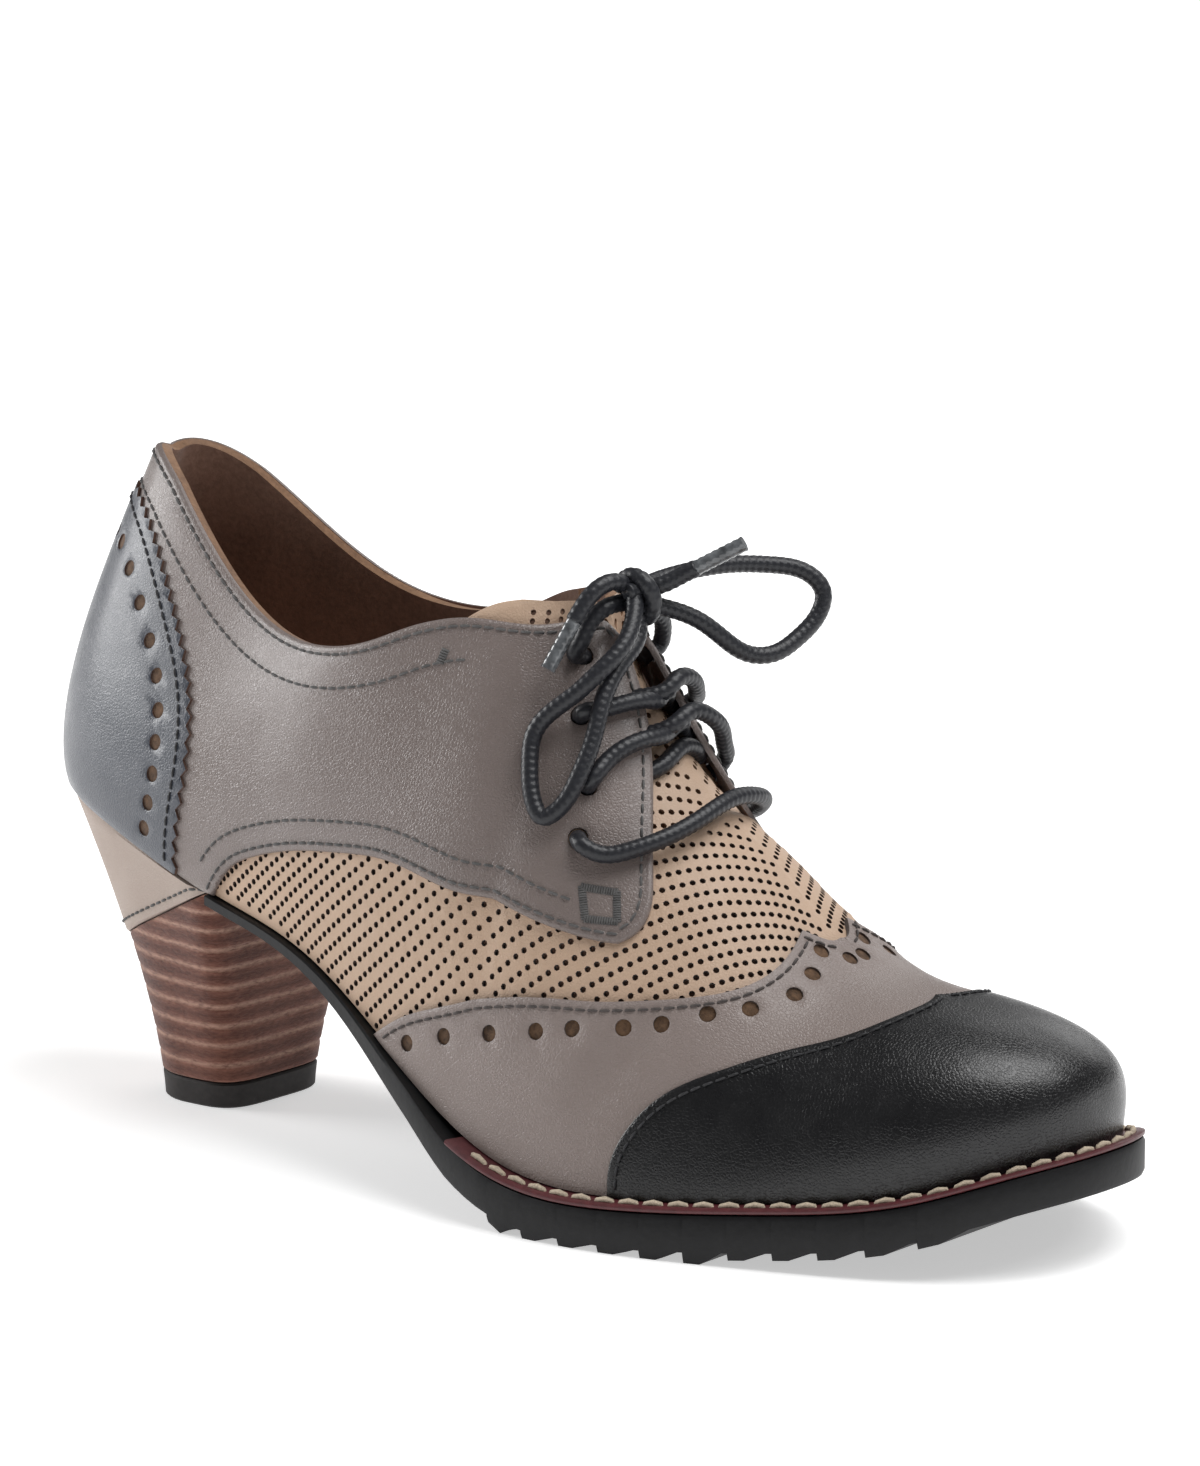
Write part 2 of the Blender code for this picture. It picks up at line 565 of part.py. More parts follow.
def add_tongue():
    outline = joined(
        through(TONGUE_TOP),
        along_border(TONGUE_TOP[-1], (RIDGE_START, 1.0)),
        along_border((RIDGE_START, 1.0), TONGUE_EDGE[-1]),
        through(TONGUE_EDGE[::-1]),
    )

    def inner_depth(u, w):
        return tongue_depth(u, w) - LINED_WALL

    return leather("tongue", both(outline), inner_depth, tongue_depth, "beige_leather")


def shifted(points, along):
    return tuple((u + along, w) for u, w in points)


def add_quarters():
    counter = shifted(COUNTER_EDGE[1:], COUNTER_CLEARANCE)
    low, shoulder = COUNTER_EDGE[0][1] + OVER_COUNTER, (counter[0][0], counter[0][1] + OVER_COUNTER)
    back = ((BACK_CLEARANCE, low), shoulder, *counter[1:])
    outline = joined(
        [(BACK_CLEARANCE, low), (BACK_CLEARANCE, (low + 1) / 2), (BACK_CLEARANCE, 1.0)],
        along_border((BACK_CLEARANCE, 1.0), (COLLAR[0][0], 1.0)),
        through(COLLAR),
        [COLLAR[-1], FLAP_FRONT[0]],
        through(FLAP_FRONT),
        through(FLAP_BOTTOM),
        along_border(FLAP_BOTTOM[-1], back[-1]),
        through(back[::-1]),
    )
    holes = [(u, w, EYELET_RADIUS) for u, w in EYELETS]
    leather("quarter_outer", {OUTER: outline}, -LEATHER, 0, "taupe_leather", holes)
    leather("quarter_inner", {INNER: outline}, -LEATHER, 0, "taupe_leather", holes)


def add_wing():
    outline = joined(
        through(WING_EDGE),
        through(WING_DIP),
        along_border(WING_DIP[-1], (CAP_EDGE[-1][0] - CAP_CLEARANCE, 1.0)),
        through(shifted(CAP_EDGE[::-1], -CAP_CLEARANCE)),
        along_border((CAP_EDGE[0][0] - CAP_CLEARANCE, 0.0), WING_EDGE[0]),
    )
    return leather("wing", both(outline), -LEATHER, 0, "taupe_leather")


def add_toe_cap():
    outline = joined(
        through(CAP_EDGE),
        along_border(CAP_EDGE[-1], (1.0, 1.0)),
        along_border((1.0, 1.0), (1.0, 0.0)),
        along_border((1.0, 0.0), CAP_EDGE[0]),
    )
    return leather("toe_cap", both(outline), -LEATHER, CAP_PROUD, "black_leather")


def add_counter():
    outline = joined(
        along_border((0.0, 0.0), COUNTER_EDGE[0]),
        through(COUNTER_EDGE),
        along_border(COUNTER_EDGE[-1], (0.0, 0.0)),
    )
    return leather("counter", both(outline), -LEATHER, COUNTER_PROUD, "navy_leather")


def outline_at(side, x, margin):
    """Where the feather edge, moved out by margin, lies across the shoe at x."""
    u = np.linspace(0, 1, 801)
    moved = feather_plan(side, u) + outward(side, u) * np.asarray(margin(u) if callable(margin) else margin)
    return np.interp(x, moved[:, 0], moved[:, 1])


def plate(name, xs, margin, top, bottom, slot, across=6):
    """A solid across the shoe, with its edge a margin out from the feather edge. top and bottom give heights at x."""
    shares = (1 - np.cos(np.pi * np.linspace(0, 1, across + 1))) / 2
    rows = []
    for x in xs:
        outer, inner = (float(outline_at(side, x, margin)) for side in (OUTER, INNER))
        rows.append([(x, outer + (inner - outer) * share) for share in shares])
    rows = np.array(rows)
    upper = np.dstack([rows, np.broadcast_to(np.array([top(x) for x in xs])[:, None], rows.shape[:2])])
    lower = np.dstack([rows, np.array([[bottom(x, share) for share in shares] for x in xs])])
    points = np.concatenate([upper.reshape(-1, 3), lower.reshape(-1, 3)])
    wide, half = across + 1, len(xs) * (across + 1)
    faces = []
    for i in range(len(xs) - 1):
        for j in range(across):
            a = i * wide + j
            faces += [(a, a + 1, a + wide + 1, a + wide), (half + a + wide, half + a + wide + 1, half + a + 1, half + a)]
        for j in (0, across):
            a = i * wide + j
            faces.append((a, a + wide, half + a + wide, half + a))
    for i in (0, len(xs) - 1):
        for j in range(across):
            a = i * wide + j
            faces.append((a, a + 1, half + a + 1, half + a))
    return add_mesh(name, points, faces, slot, 30)


def under_upper(x):
    return float(feather_height(share_at(x)))


def welt_share(x):
    """How far the welt is between upper and sole: 0 behind its start, 1 before it."""
    start = float(x_at(share_of(WELT_START)))
    return min(max((x - start + 0.012) / 0.010, 0.0), 1.0)


def sole_top(x):
    return under_upper(x) - GAP - welt_share(x) * (WELT_THICKNESS + GAP)


def sole_margin(u):
    """How far the outsole's edge stands out from the feather edge."""
    ahead = np.clip((u - 0.42) / 0.14, 0, 1)
    smooth = ahead * ahead * (3 - 2 * ahead)
    return (SHANK_EDGE + (WELT_EDGE - SHANK_EDGE) * smooth)[..., None]


def lug_stations():
    """Stations of the lugs: each has a land on the floor, then rises forward to its root."""
    found = []
    for k in range(LUG_COUNT):
        x = float(x_at(FIRST_LUG + k * LUG_PITCH))
        root = float(x_at(FIRST_LUG + (k + 1) * LUG_PITCH)) - LUG_ROOT
        found += [(x, 0.0), (x + LUG_EDGE, 1.0), (x + LUG_LAND, 1.0), (root, 0.0)]
    return found


def sole_floor(x):
    """The outsole's underside between its lugs."""
    ahead = min(max((float(share_at(x)) - THICKENING[0]) / (THICKENING[1] - THICKENING[0]), 0), 1)
    thick = SHANK_THICKNESS + (SOLE_THICKNESS - SHANK_THICKNESS) * ahead * ahead * (3 - 2 * ahead)
    return max(sole_top(x) - thick, LUG_DEPTH - 0.0001)


def add_outsole():
    end = float(x_at(1.0)) + WELT_EDGE - 0.0001
    lugs = lug_stations()
    xs = set(np.linspace(BREAST + GAP, lugs[0][0] - LUG_LAND, 16)) | {x for x, _ in lugs}
    turn = np.linspace(0, 1, 12)
    last_lug = lugs[-1][0]
    xs |= set(last_lug + (end - last_lug) * np.sin(turn[1:] * np.pi / 2))
    start = float(x_at(share_of(WELT_START)))
    xs |= {start - 0.012, start - 0.007, start - 0.002}
    xs = sorted(xs)
    depth_x = [x for x, _ in lugs]
    depth = [share for _, share in lugs]

    def bottom(x, share):
        floor = sole_floor(x)
        reach = np.interp(x, depth_x, depth, 0, 0)
        if share_at(x) < PLAIN_RIM_END and not 0.08 < share < 0.92:
            return floor
        spring = max(floor - LUG_DEPTH, 0.0)
        drop = floor - (0.0 if spring < LEAST_SPRING else spring)
        return floor - reach * drop

    return plate("outsole", xs, sole_margin, sole_top, bottom, "sole_rubber")


def add_welt():
    """The strip round the forepart that the sole is stitched to."""
    stations = [u for u in STATIONS if u > WELT_START + 0.005]
    path = [(OUTER, u) for u in [WELT_START, *stations]] + [(INNER, u) for u in [WELT_START, *stations][::-1]][1:]
    points, faces = [], []
    for side, u in path:
        spot, out = feather_plan(side, u), outward(side, np.array([u]))[0]
        for margin, level in ((-WELT_INSET, 1), (WELT_EDGE, 1), (WELT_EDGE, 0), (-WELT_INSET, 0)):
            x, y = spot + out * margin
            top = under_upper(x) - GAP
            points.append((x, y, top - (0 if level else WELT_THICKNESS)))
    for i in range(len(path) - 1):
        for j in range(4):
            a, b = i * 4 + j, i * 4 + (j + 1) % 4
            faces.append((a, b, b + 4, a + 4))
    faces += [(0, 1, 2, 3), tuple(len(points) - 4 + k for k in (3, 2, 1, 0))]
    return add_mesh("welt", points, faces, "welt", 30)


def add_insole():
    start, end = -HEEL_BACK + INSOLE_INSET, float(x_at(1.0)) - INSOLE_INSET
    xs = start + (end - start) * (1 - np.cos(np.pi * np.linspace(0.015, 0.985, 30))) / 2
    return plate("insole", list(xs), -INSOLE_INSET, lambda x: under_upper(x) + INSOLE_THICKNESS,
                 lambda x, share: under_upper(x), "lining", 6)


def heel_outline(turns, margin):
    """The heel's outline at the seat and at the floor, as points round the middle of the tip."""
    u_end = float(np.arccos(1 - 2 * share_at(BREAST)) / np.pi)
    us = np.linspace(0, u_end, 60)
    edge = [feather_plan(side, us) for side in (OUTER, INNER)]
    ring = np.concatenate([edge[0][::-1], edge[1][1:]])
    closed = np.concatenate([ring, ring[:1]])
    centre = np.array([HEEL_MIDDLE, SEAT_SIDE])
    fine = np.linspace(0, 2 * math.pi, 360, endpoint=False)
    reach = []
    for turn in fine:
        way = np.array([math.cos(turn), math.sin(turn)])
        best = 0
        for a, b in zip(closed[:-1], closed[1:]):
            cross = way[0] * (b - a)[1] - way[1] * (b - a)[0]
            if abs(cross) < 1e-12:
                continue
            along = ((a - centre)[0] * (b - a)[1] - (a - centre)[1] * (b - a)[0]) / cross
            across = ((a - centre)[0] * way[1] - (a - centre)[1] * way[0]) / cross
            if along > 0 and -1e-9 <= across <= 1 + 1e-9:
                best = max(best, along)
        reach.append(best)
    near = np.minimum(fine, 2 * math.pi - fine)
    weights = np.exp(-(near / CORNER_BLUR) ** 2)
    blurred = sum(np.roll(reach, k) * weight for k, weight in enumerate(weights) if weight > 1e-3) / weights.sum()
    rounded = np.minimum(reach, blurred)
    seat, tip = [], []
    for turn in turns:
        way = np.array([math.cos(turn), math.sin(turn)])
        seat.append(centre + way * (np.interp(turn, fine, rounded, period=2 * math.pi) + margin))
        power = 4.0 if way[0] > 0 else 2.2
        long, wide = HEEL_TIP_LENGTH / 2, HEEL_TIP_WIDTH / 2
        edge = ((abs(way[0]) / long) ** power + (abs(way[1]) / wide) ** power) ** (-1 / power)
        tip.append(way * (edge + margin))
    return np.array(seat), np.array(tip)


def heel_block(name, low, high, margin, slot):
    """The part of the heel's whole form between two planes, each (height at x = 0, slope)."""
    turns = np.linspace(0, 2 * math.pi, 44, endpoint=False)
    seat, tip = heel_outline(turns, margin)
    heights = np.linspace(0, 1, 12)
    rings = []
    for h in heights:
        spread = h ** HEEL_SPREAD
        flat = tip * (1 - spread) + seat * spread
        rings.append(np.column_stack([flat, [(under_upper(x) - GAP) * h for x in flat[:, 0]]]))
    for shrink in (0.66, 0.33):
        middle = np.array([HEEL_MIDDLE, SEAT_SIDE])
        flat = middle + (seat - middle) * shrink
        rings.append(np.column_stack([flat, [under_upper(x) - GAP for x in flat[:, 0]]]))
    n = len(turns)
    points = np.concatenate(rings + [[(HEEL_MIDDLE, SEAT_SIDE, under_upper(HEEL_MIDDLE) - GAP), (0, 0, 0)]])
    faces = []
    for i in range(len(rings) - 1):
        for j in range(n):
            k = (j + 1) % n
            faces.append((i * n + j, i * n + k, (i + 1) * n + k, (i + 1) * n + j))
    last, top, floor = (len(rings) - 1) * n, len(points) - 2, len(points) - 1
    for j in range(n):
        k = (j + 1) % n
        faces += [(last + j, last + k, top), (k, j, floor)]
    shape = bmesh.new()
    made = [shape.verts.new(point) for point in points]
    for face in faces:
        shape.faces.new([made[k] for k in face])
    bmesh.ops.recalc_face_normals(shape, faces=shape.faces)
    for (height, slope), sign in ((low, -1), (high, 1)):
        if height is None:
            continue
        normal = Vector((-slope, 0, 1)).normalized() * sign
        everything = shape.verts[:] + shape.edges[:] + shape.faces[:]
        bmesh.ops.bisect_plane(shape, geom=everything, plane_co=(0, 0, height), plane_no=normal, clear_outer=True)
        rim = [edge for edge in shape.edges if edge.is_boundary]
        bmesh.ops.holes_fill(shape, edges=rim, sides=0)
    mesh = bpy.data.meshes.new(name)
    shape.to_mesh(mesh)
    shape.free()
    points = [tuple(vertex.co) for vertex in mesh.vertices]
    faces = [tuple(face.vertices) for face in mesh.polygons]
    bpy.data.meshes.remove(mesh)
    return add_mesh(name, points, faces, slot, 35)


def add_heel():
    heel_block("heel_tip", (None, 0), (HEEL_TIP_HEIGHT, 0), 0.0, "heel_tip_rubber")
    heel_block("heel_stack", (HEEL_TIP_HEIGHT + GAP, 0), (COVER_EDGE_SHARE * SEAT_HEIGHT, COVER_EDGE_SLOPE), 0.0, "stacked_heel")
    heel_block("heel_cover", (COVER_EDGE_SHARE * SEAT_HEIGHT + GAP, COVER_EDGE_SLOPE), (None, 0), COVER_PROUD, "taupe_leather")


def smooth_run(route, spacing):
    """Evenly spaced points on the smooth curve through a route's own points."""
    route = np.array(route, float)
    run = np.append(0, np.cumsum(np.linalg.norm(np.diff(route, axis=0), axis=1)))
    table = np.column_stack([run, route])
    even = np.linspace(0, run[-1], max(3, round(run[-1] / spacing) + 1))
    return np.column_stack([spline(table, column, even) for column in (1, 2, 3)])


def lace_tube(name, route, radius=LACE_RADIUS, slot="lace"):
    """A round cord through a route, as a curve with filled ends."""
    curve = bpy.data.curves.new(name, "CURVE")
    curve.dimensions = "3D"
    curve.bevel_depth = radius
    curve.bevel_resolution = 2
    curve.use_fill_caps = True
    run = smooth_run(route, LACE_STEP * 2 * radius)
    line = curve.splines.new("POLY")
    line.points.add(len(run) - 1)
    for point, place in zip(line.points, run):
        point.co = (*place, 1)
    return add_object(name, curve, slot)


def over_flaps(rows):
    """A lace route from its rows of side, station, height and lift."""
    return [LAST.at(side, u, w, lift * LACE_RADIUS) for side, u, w, lift in rows]


def as_mesh(tube):
    """A tube's closed mesh, in a new object of the same name that takes its place."""
    name, slot = tube.name, tube.data.materials[0].name
    made = bpy.data.meshes.new_from_object(tube.evaluated_get(bpy.context.evaluated_depsgraph_get()))
    points = [tuple(vertex.co) for vertex in made.vertices]
    faces = [tuple(face.vertices) for face in made.polygons]
    bpy.data.objects.remove(tube)
    bpy.data.meshes.remove(made)
    return add_mesh(name, points, faces, slot)


def add_crossing(name, strands):
    """Two strands that cross in the throat, joined where they touch."""
    under, over = (as_mesh(lace_tube(part, over_flaps(rows))) for part, rows in zip((name, name + "_over"), strands))
    over.hide_render = True
    over.display_type = "WIRE"
    join = under.modifiers.new("join", "BOOLEAN")
    join.operation = "UNION"
    join.object = over


def add_knot():
    """The knot's outer form, an egg with a furrow where the wrap crosses it."""
    shape = bmesh.new()
    bmesh.ops.create_icosphere(shape, subdivisions=3, radius=1)
    for vertex in shape.verts:
        x, y, z = vertex.co
        furrow = 1 - KNOT_FURROW * math.exp(-(y / KNOT_FURROW_WIDTH) ** 2)
        vertex.co = [centre + size * value * furrow for centre, size, value in zip(KNOT_CENTRE, KNOT_SIZE, (x, y, z))]
    points = [tuple(vertex.co) for vertex in shape.verts]
    faces = [tuple(vertex.index for vertex in face.verts) for face in shape.faces]
    shape.free()
    return add_mesh("lace_knot", points, faces, "lace")


def add_lace():
    as_mesh(lace_tube("lace_bar", over_flaps(LACE_BAR)))
    add_crossing("lace_crossing_lower", LOWER_CROSSING)
    add_crossing("lace_crossing_upper", UPPER_CROSSING)
    lace_tube("lace_rise_outer", RISE_OUTER)
    lace_tube("lace_rise_inner", RISE_INNER)
    add_knot()
    lace_tube("lace_loop_outer", LOOP_OUTER)
    lace_tube("lace_loop_inner", LOOP_INNER)
    for name, end in (("outer", END_OUTER), ("inner", END_INNER)):
        lace_tube("lace_end_" + name, end)
        before, last = smooth_run(end, LACE_STEP * 2 * LACE_RADIUS)[-2:]
        way = (last - before) / np.linalg.norm(last - before)
        aglet = [last + way * (GAP + AGLET_LENGTH * share) for share in (0, 0.5, 1)]
        lace_tube("aglet_" + name, aglet, AGLET_RADIUS, "aglet")


def clear_scene():
    for thing in list(bpy.data.objects):
        bpy.data.objects.remove(thing)


def main():
    clear_scene()
    add_outsole()
    add_welt()
    add_heel()
    add_insole()
    add_upper()
    add_tongue()
    add_quarters()
    add_wing()
    add_toe_cap()
    add_counter()
    add_lace()


main()
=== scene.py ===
"""The looks of a laced oxford on a stacked heel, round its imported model.

Metres, in the model's own frame: +X to the toe, +Y to the inner side of the foot, +Z up, the origin under
the heel tip. A place on the last is a side (-1 outer, +1 inner), a station u round the feather edge from the
heel (0) to the toe (1), and a height w from the feather edge (0) to the top (1). The leathers are cut,
pierced and sewn on it.
"""

import math

import bpy
import bmesh
import numpy as np
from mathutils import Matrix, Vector
from mathutils.geometry import delaunay_2d_cdt


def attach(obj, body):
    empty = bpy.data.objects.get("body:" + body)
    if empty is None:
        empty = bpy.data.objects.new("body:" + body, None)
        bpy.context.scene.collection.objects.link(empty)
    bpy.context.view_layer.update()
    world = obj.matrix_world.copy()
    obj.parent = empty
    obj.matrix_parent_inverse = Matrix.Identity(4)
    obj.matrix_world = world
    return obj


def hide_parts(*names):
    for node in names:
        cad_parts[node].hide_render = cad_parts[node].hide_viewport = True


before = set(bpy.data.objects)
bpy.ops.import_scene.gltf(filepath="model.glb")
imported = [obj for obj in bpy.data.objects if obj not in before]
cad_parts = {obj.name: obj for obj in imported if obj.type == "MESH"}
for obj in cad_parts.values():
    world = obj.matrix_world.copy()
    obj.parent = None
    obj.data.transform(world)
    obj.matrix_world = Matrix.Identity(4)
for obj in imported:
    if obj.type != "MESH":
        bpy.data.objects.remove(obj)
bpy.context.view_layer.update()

OUTER, INNER = -1, 1

# The last
LAST_LENGTH = 0.235
BALL_WIDTH = 0.086
HEEL_BACK = 0.035
SEAT_SIDE = 0.002
SEAT_HEIGHT = 0.0602
FOREPART_HEIGHT = 0.0100
TOE_SPRING = 0.0112
BACK_HEIGHT = 0.0685
INSTEP_HEIGHT = 0.102
COLLAR_WIDTH = 0.052
END_ROUNDING = 0.92
RIDGE_START = 0.53
# Sole and heel
WELT_THICKNESS = 0.0010
WELT_EDGE = 0.0045
WELT_INSET = 0.0040
WELT_START = 0.53
SHANK_THICKNESS = 0.0022
SOLE_THICKNESS = 0.0068
SHANK_EDGE = 0.0004
BREAST = 0.0180
HEEL_TIP_LENGTH = 0.0240
HEEL_TIP_WIDTH = 0.0290
HEEL_TIP_HEIGHT = 0.0050
HEEL_SPREAD = 1.45
COVER_PROUD = 0.0005
COVER_EDGE_SHARE = 0.64
COVER_EDGE_SLOPE = 0.45
INSOLE_THICKNESS = 0.0025
INSOLE_INSET = 0.0044
LUG_LAND = 0.0030
LUG_DEPTH = 0.0013
LUG_EDGE = 0.0002
LUG_ROOT = 0.0010
LUG_COUNT = 11
LEAST_SPRING = 0.0012
HEEL_MIDDLE = -0.004
CORNER_BLUR = 0.12

# Places along the sole, as shares of LAST_LENGTH: the first lug, the lugs' pitch, and where the sole starts
# to thicken and stops
FIRST_LUG = 0.5915
LUG_PITCH = 0.0332
THICKENING = (0.2766, 0.5957)
# The welt comes between upper and sole from this far behind its start, over this length
WELT_LEAD, WELT_RUN = 0.012, 0.010
# Stations where the sole's edge starts to stand out, and over how many it does
EDGE_SPREAD_START, EDGE_SPREAD_RUN = 0.42, 0.14
# Shares of the sole's height and how far out it stands there, and how many strips a sole has across
SOLE_WALL = ((0.0, -0.0004), (0.12, 0.0), (0.88, 0.0), (1.0, -0.0004))
STRIPS_ACROSS = 12
# How far the sole's underside reaches into its lugs
LUG_LAP = 0.0001
# How square the tip's outline is ahead of its middle and behind it, and the places worked out round the heel
TIP_POWERS = (4.0, 2.2)
HEEL_EDGE_PLACES, HEEL_TURNS_FINE, HEEL_TURNS, HEEL_LINE_PLACES = 60, 360, 96, 220
# The clearance between pieces that meet
GAP = 0.0003

# Camera: azimuth and height over the horizon, distance, aim, focal length for a 36 mm sensor
CAMERA_AZIMUTH, CAMERA_ELEVATION = 39.0, 11.5
CAMERA_DISTANCE = 1.2
CAMERA_AIM = (0.092, 0.0, 0.0828)
CAMERA_LENS = 159.4

# Leather layers, as depths below the outside of the quarters
LINING_LOW, LINING_HIGH, LINING_BACK = -0.0031, -0.00235, -0.00105
VAMP_LOW, VAMP_HIGH = -0.0022, -0.00115
OVERLAY_LOW = -0.0010
CAP_PROUD = 0.0005
COUNTER_PROUD = 0.0007
TONGUE_HIGH = -0.0018
TONGUE_THICKNESS = 0.0016
TONGUE_DIP = 0.0030
WING_BACKING = (-0.0007, -0.0006)
COUNTER_BACKING = (0.0001, 0.0002)
# The lining comes out to the quarters behind this station, over this many more
LINING_TURN_START, LINING_TURN_RUN = 0.27, 0.05

# Edges: (distance in from the edge, drop of the face)
FOLDED = ((0.0, -0.00055), (0.00016, -0.00024), (0.00042, -0.00007), (0.0009, 0.0))
CUT = ((0.0, -0.00014), (0.00018, 0.0))
PINKED = ((0.0, -0.0001), (0.00015, 0.0))
JOIN_DEPTHS = (0.00018, 0.0012, 0.0018)
GROOVE_HALF, GROOVE_DEPTH = 0.00055, 0.00012

# Threads: length, pitch, radius
FINE_THREAD = (0.0021, 0.00242, 0.00027)
WELT_THREAD = (0.0043, 0.0048, 0.00062)
# A stitch's rings: place along it in lengths, thickness and lift in radii
STITCH_RINGS = ((-0.5, 0.3, -0.9), (-0.40, 0.85, 0.1), (0.0, 1.0, 0.62), (0.40, 0.85, 0.1), (0.5, 0.3, -0.9))
STITCH_SIDES = 6
# The fineness of a row's line, and the least height at which it has stitches
STITCH_STEP, STITCH_LEAST = 0.0004, 0.004
# Tacks: pitch of their stitches, radius, length at the collar and in a corner's box
TACK_PITCH, TACK_RADIUS, COLLAR_TACK_LENGTH, BOX_TACK_LENGTH = 0.00046, 0.00025, 0.0019, 0.0017
# How far each row of stitches is from its edge
EDGE_ROW = 0.0017
COLLAR_ROW = 0.0080
FLAP_ROW = 0.0022
ARCH_EDGE_ROW = 0.0015
ARCH_ROW = 0.0058
COUNTER_ROW = 0.0026
COVER_ROW = 0.0021
# Shares of a seam's length where its row starts and ends
COLLAR_ROW_SPAN = (0.02, 0.70)
FLAP_ROW_SPAN = (0.03, 1.0)
ARCH_ROW_SPAN = (0.09, 0.97)

# Holes
EYELET_RADIUS, EYELET_SIDES = 0.0019, 20
BROGUE_RADIUS, BROGUE_SIDES = 0.00160, 14
BACKING_RADIUS, BACKING_SIDES = 0.0018, 12
PERFORATION_RADIUS, PERFORATION_SIDES = 0.00062, 7
PERFORATION_PITCH = 0.0033
PERFORATION_ROW = 0.00178
# The rows of small holes line up at this station, and lie between these heights
PERFORATION_MIDDLE, PERFORATION_LEAST, PERFORATION_MOST = 0.62, 0.012, 0.995
# How clear they are of the ridge, the vamp's top and the tongue's top, and the places worked out along a row
RIDGE_CLEAR, VAMP_TOP_CLEAR, TONGUE_TOP_CLEAR = 0.0010, 0.0012, 0.003
ROW_PLACES, RIDGE_PLACES = 900, 60
PINK_PITCH, PINK_DEPTH = 0.0033, 0.0013

# The stacked heel's layers: pitch, depth of the groove between two, and the share of a layer that is flat
LIFT_PITCH = 0.0041
LIFT_GROOVE = 0.00022
LIFT_FLAT = 0.72
HEEL_BEVEL, STACK_BEVEL = 0.0004, 0.0002

# Lace
LACE_RADIUS = 0.00165
AGLET_RADIUS = 0.00145
AGLET_LENGTH = 0.0100
KNOT_CENTRE = (0.1017, -0.0015, 0.1097)
BRAID_PITCH = 0.0014
BRAID_STRANDS = 8
BRAID_HEIGHT = 0.00019
BRAID_SIDES, BRAID_STEP = 24, 0.00030
# Depths under an eyelet that a lace comes up through
EYELET_DEPTHS = (-0.0030, -0.0008)

# Fineness of the meshes
FINE_STATIONS, FINE_HEIGHTS, PROFILE_STEPS = 401, 81, 100
STATIONS = tuple(np.linspace(0, 0.53, 70)) + tuple(np.linspace(0.53, 1, 66))[1:]
HEIGHTS = tuple(np.linspace(0, 1, 41))
EDGE_STEP = 0.0011
HIDDEN_STEP = 0.003
FLAT_HEIGHT = 0.085
NEARLY_ZERO = 1e-6
# Clear distances in a sheet's mesh: inside its last rail, from hidden edges, from holes, round a hole
RAIL_CLEAR, HIDDEN_CLEAR, HOLE_CLEAR, HALO_REACH = 0.0008, 0.0006, 0.0005, 0.00032
# Least and greatest station and height of a rail's points, and the least share of its distance from the edge
RAIL_LEAST, RAIL_MOST, RAIL_KEPT = (0.001, 0.003), (0.999, 0.997), 0.93
# How far a face dips at a hole, and the least number of sides that gives a hole a halo
HOLE_DROP = 0.00016
HALO_SIDES = 10
FAR_AWAY = 9.0

# Wear creases: (places along it), half width, rise. Each fades over so many half widths at its ends
CREASE_FADE, CREASE_LEAST, CREASE_STEPS = 3, 0.15, 30
CREASES = {
    OUTER: (
        (((0.600, 0.10), (0.622, 0.30), (0.655, 0.48)), 0.0042, -0.0006),
        (((0.575, 0.12), (0.600, 0.28), (0.630, 0.44)), 0.0040, 0.0004),
        (((0.655, 0.60), (0.668, 0.78), (0.672, 0.98)), 0.0040, -0.0005),
        (((0.270, 0.52), (0.320, 0.60), (0.370, 0.66)), 0.0070, -0.0006),
        (((0.300, 0.30), (0.350, 0.38), (0.400, 0.42)), 0.0080, -0.0004),
    ),
    INNER: (
        (((0.600, 0.10), (0.622, 0.30), (0.655, 0.48)), 0.0042, -0.0006),
        (((0.655, 0.60), (0.668, 0.78), (0.672, 0.98)), 0.0040, -0.0005),
        (((0.270, 0.52), (0.320, 0.60), (0.370, 0.66)), 0.0070, -0.0006),
    ),
}

# Box of stitches at each flap's corner
CORNER_BOX = ((0.580, 0.560), (0.598, 0.610), (0.603, 0.560), (0.586, 0.516))
# The collar's second row stops at a tack
COLLAR_TACK = ((0.452, 0.868), (0.452, 0.838))
# Levels of the rings of the heel's tip and its cover
TIP_LEVELS = (0.0, 0.08, 0.5, 0.92, 1.0)
COVER_LEVELS = (0.0, 0.02, 0.06, 0.12, 0.18, 0.3, 0.45, 0.6, 0.75, 0.88, 0.97, 1.0)

# Where the vamp's leather is cut: under the flaps and the wing, with its edge over the tongue's
VAMP_BACK, VAMP_FRONT = 0.30, 0.80
VAMP_TOP = ((0.300, 0.42), (0.340, 0.50), (0.400, 0.60), (0.480, 0.72), (0.530, 0.700), (0.570, 0.700),
            (0.592, 0.716), (0.608, 0.790), (0.624, 0.900), (0.628, 1.0))
# Where small holes show: the vamp's stretch between flap and wing, and the tongue's
VAMP_SHOWN = [(0.600, 0.70), (0.610, 0.80), (0.626, 0.92), (0.630, 0.992), (0.745, 0.992), (0.735, 0.90)]
TONGUE_SHOWN = ((0.470, 0.985), (0.500, 0.93), (0.540, 0.86), (0.585, 0.76), (0.618, 0.80), (0.632, 0.92),
                (0.634, 0.992), (0.480, 0.992))
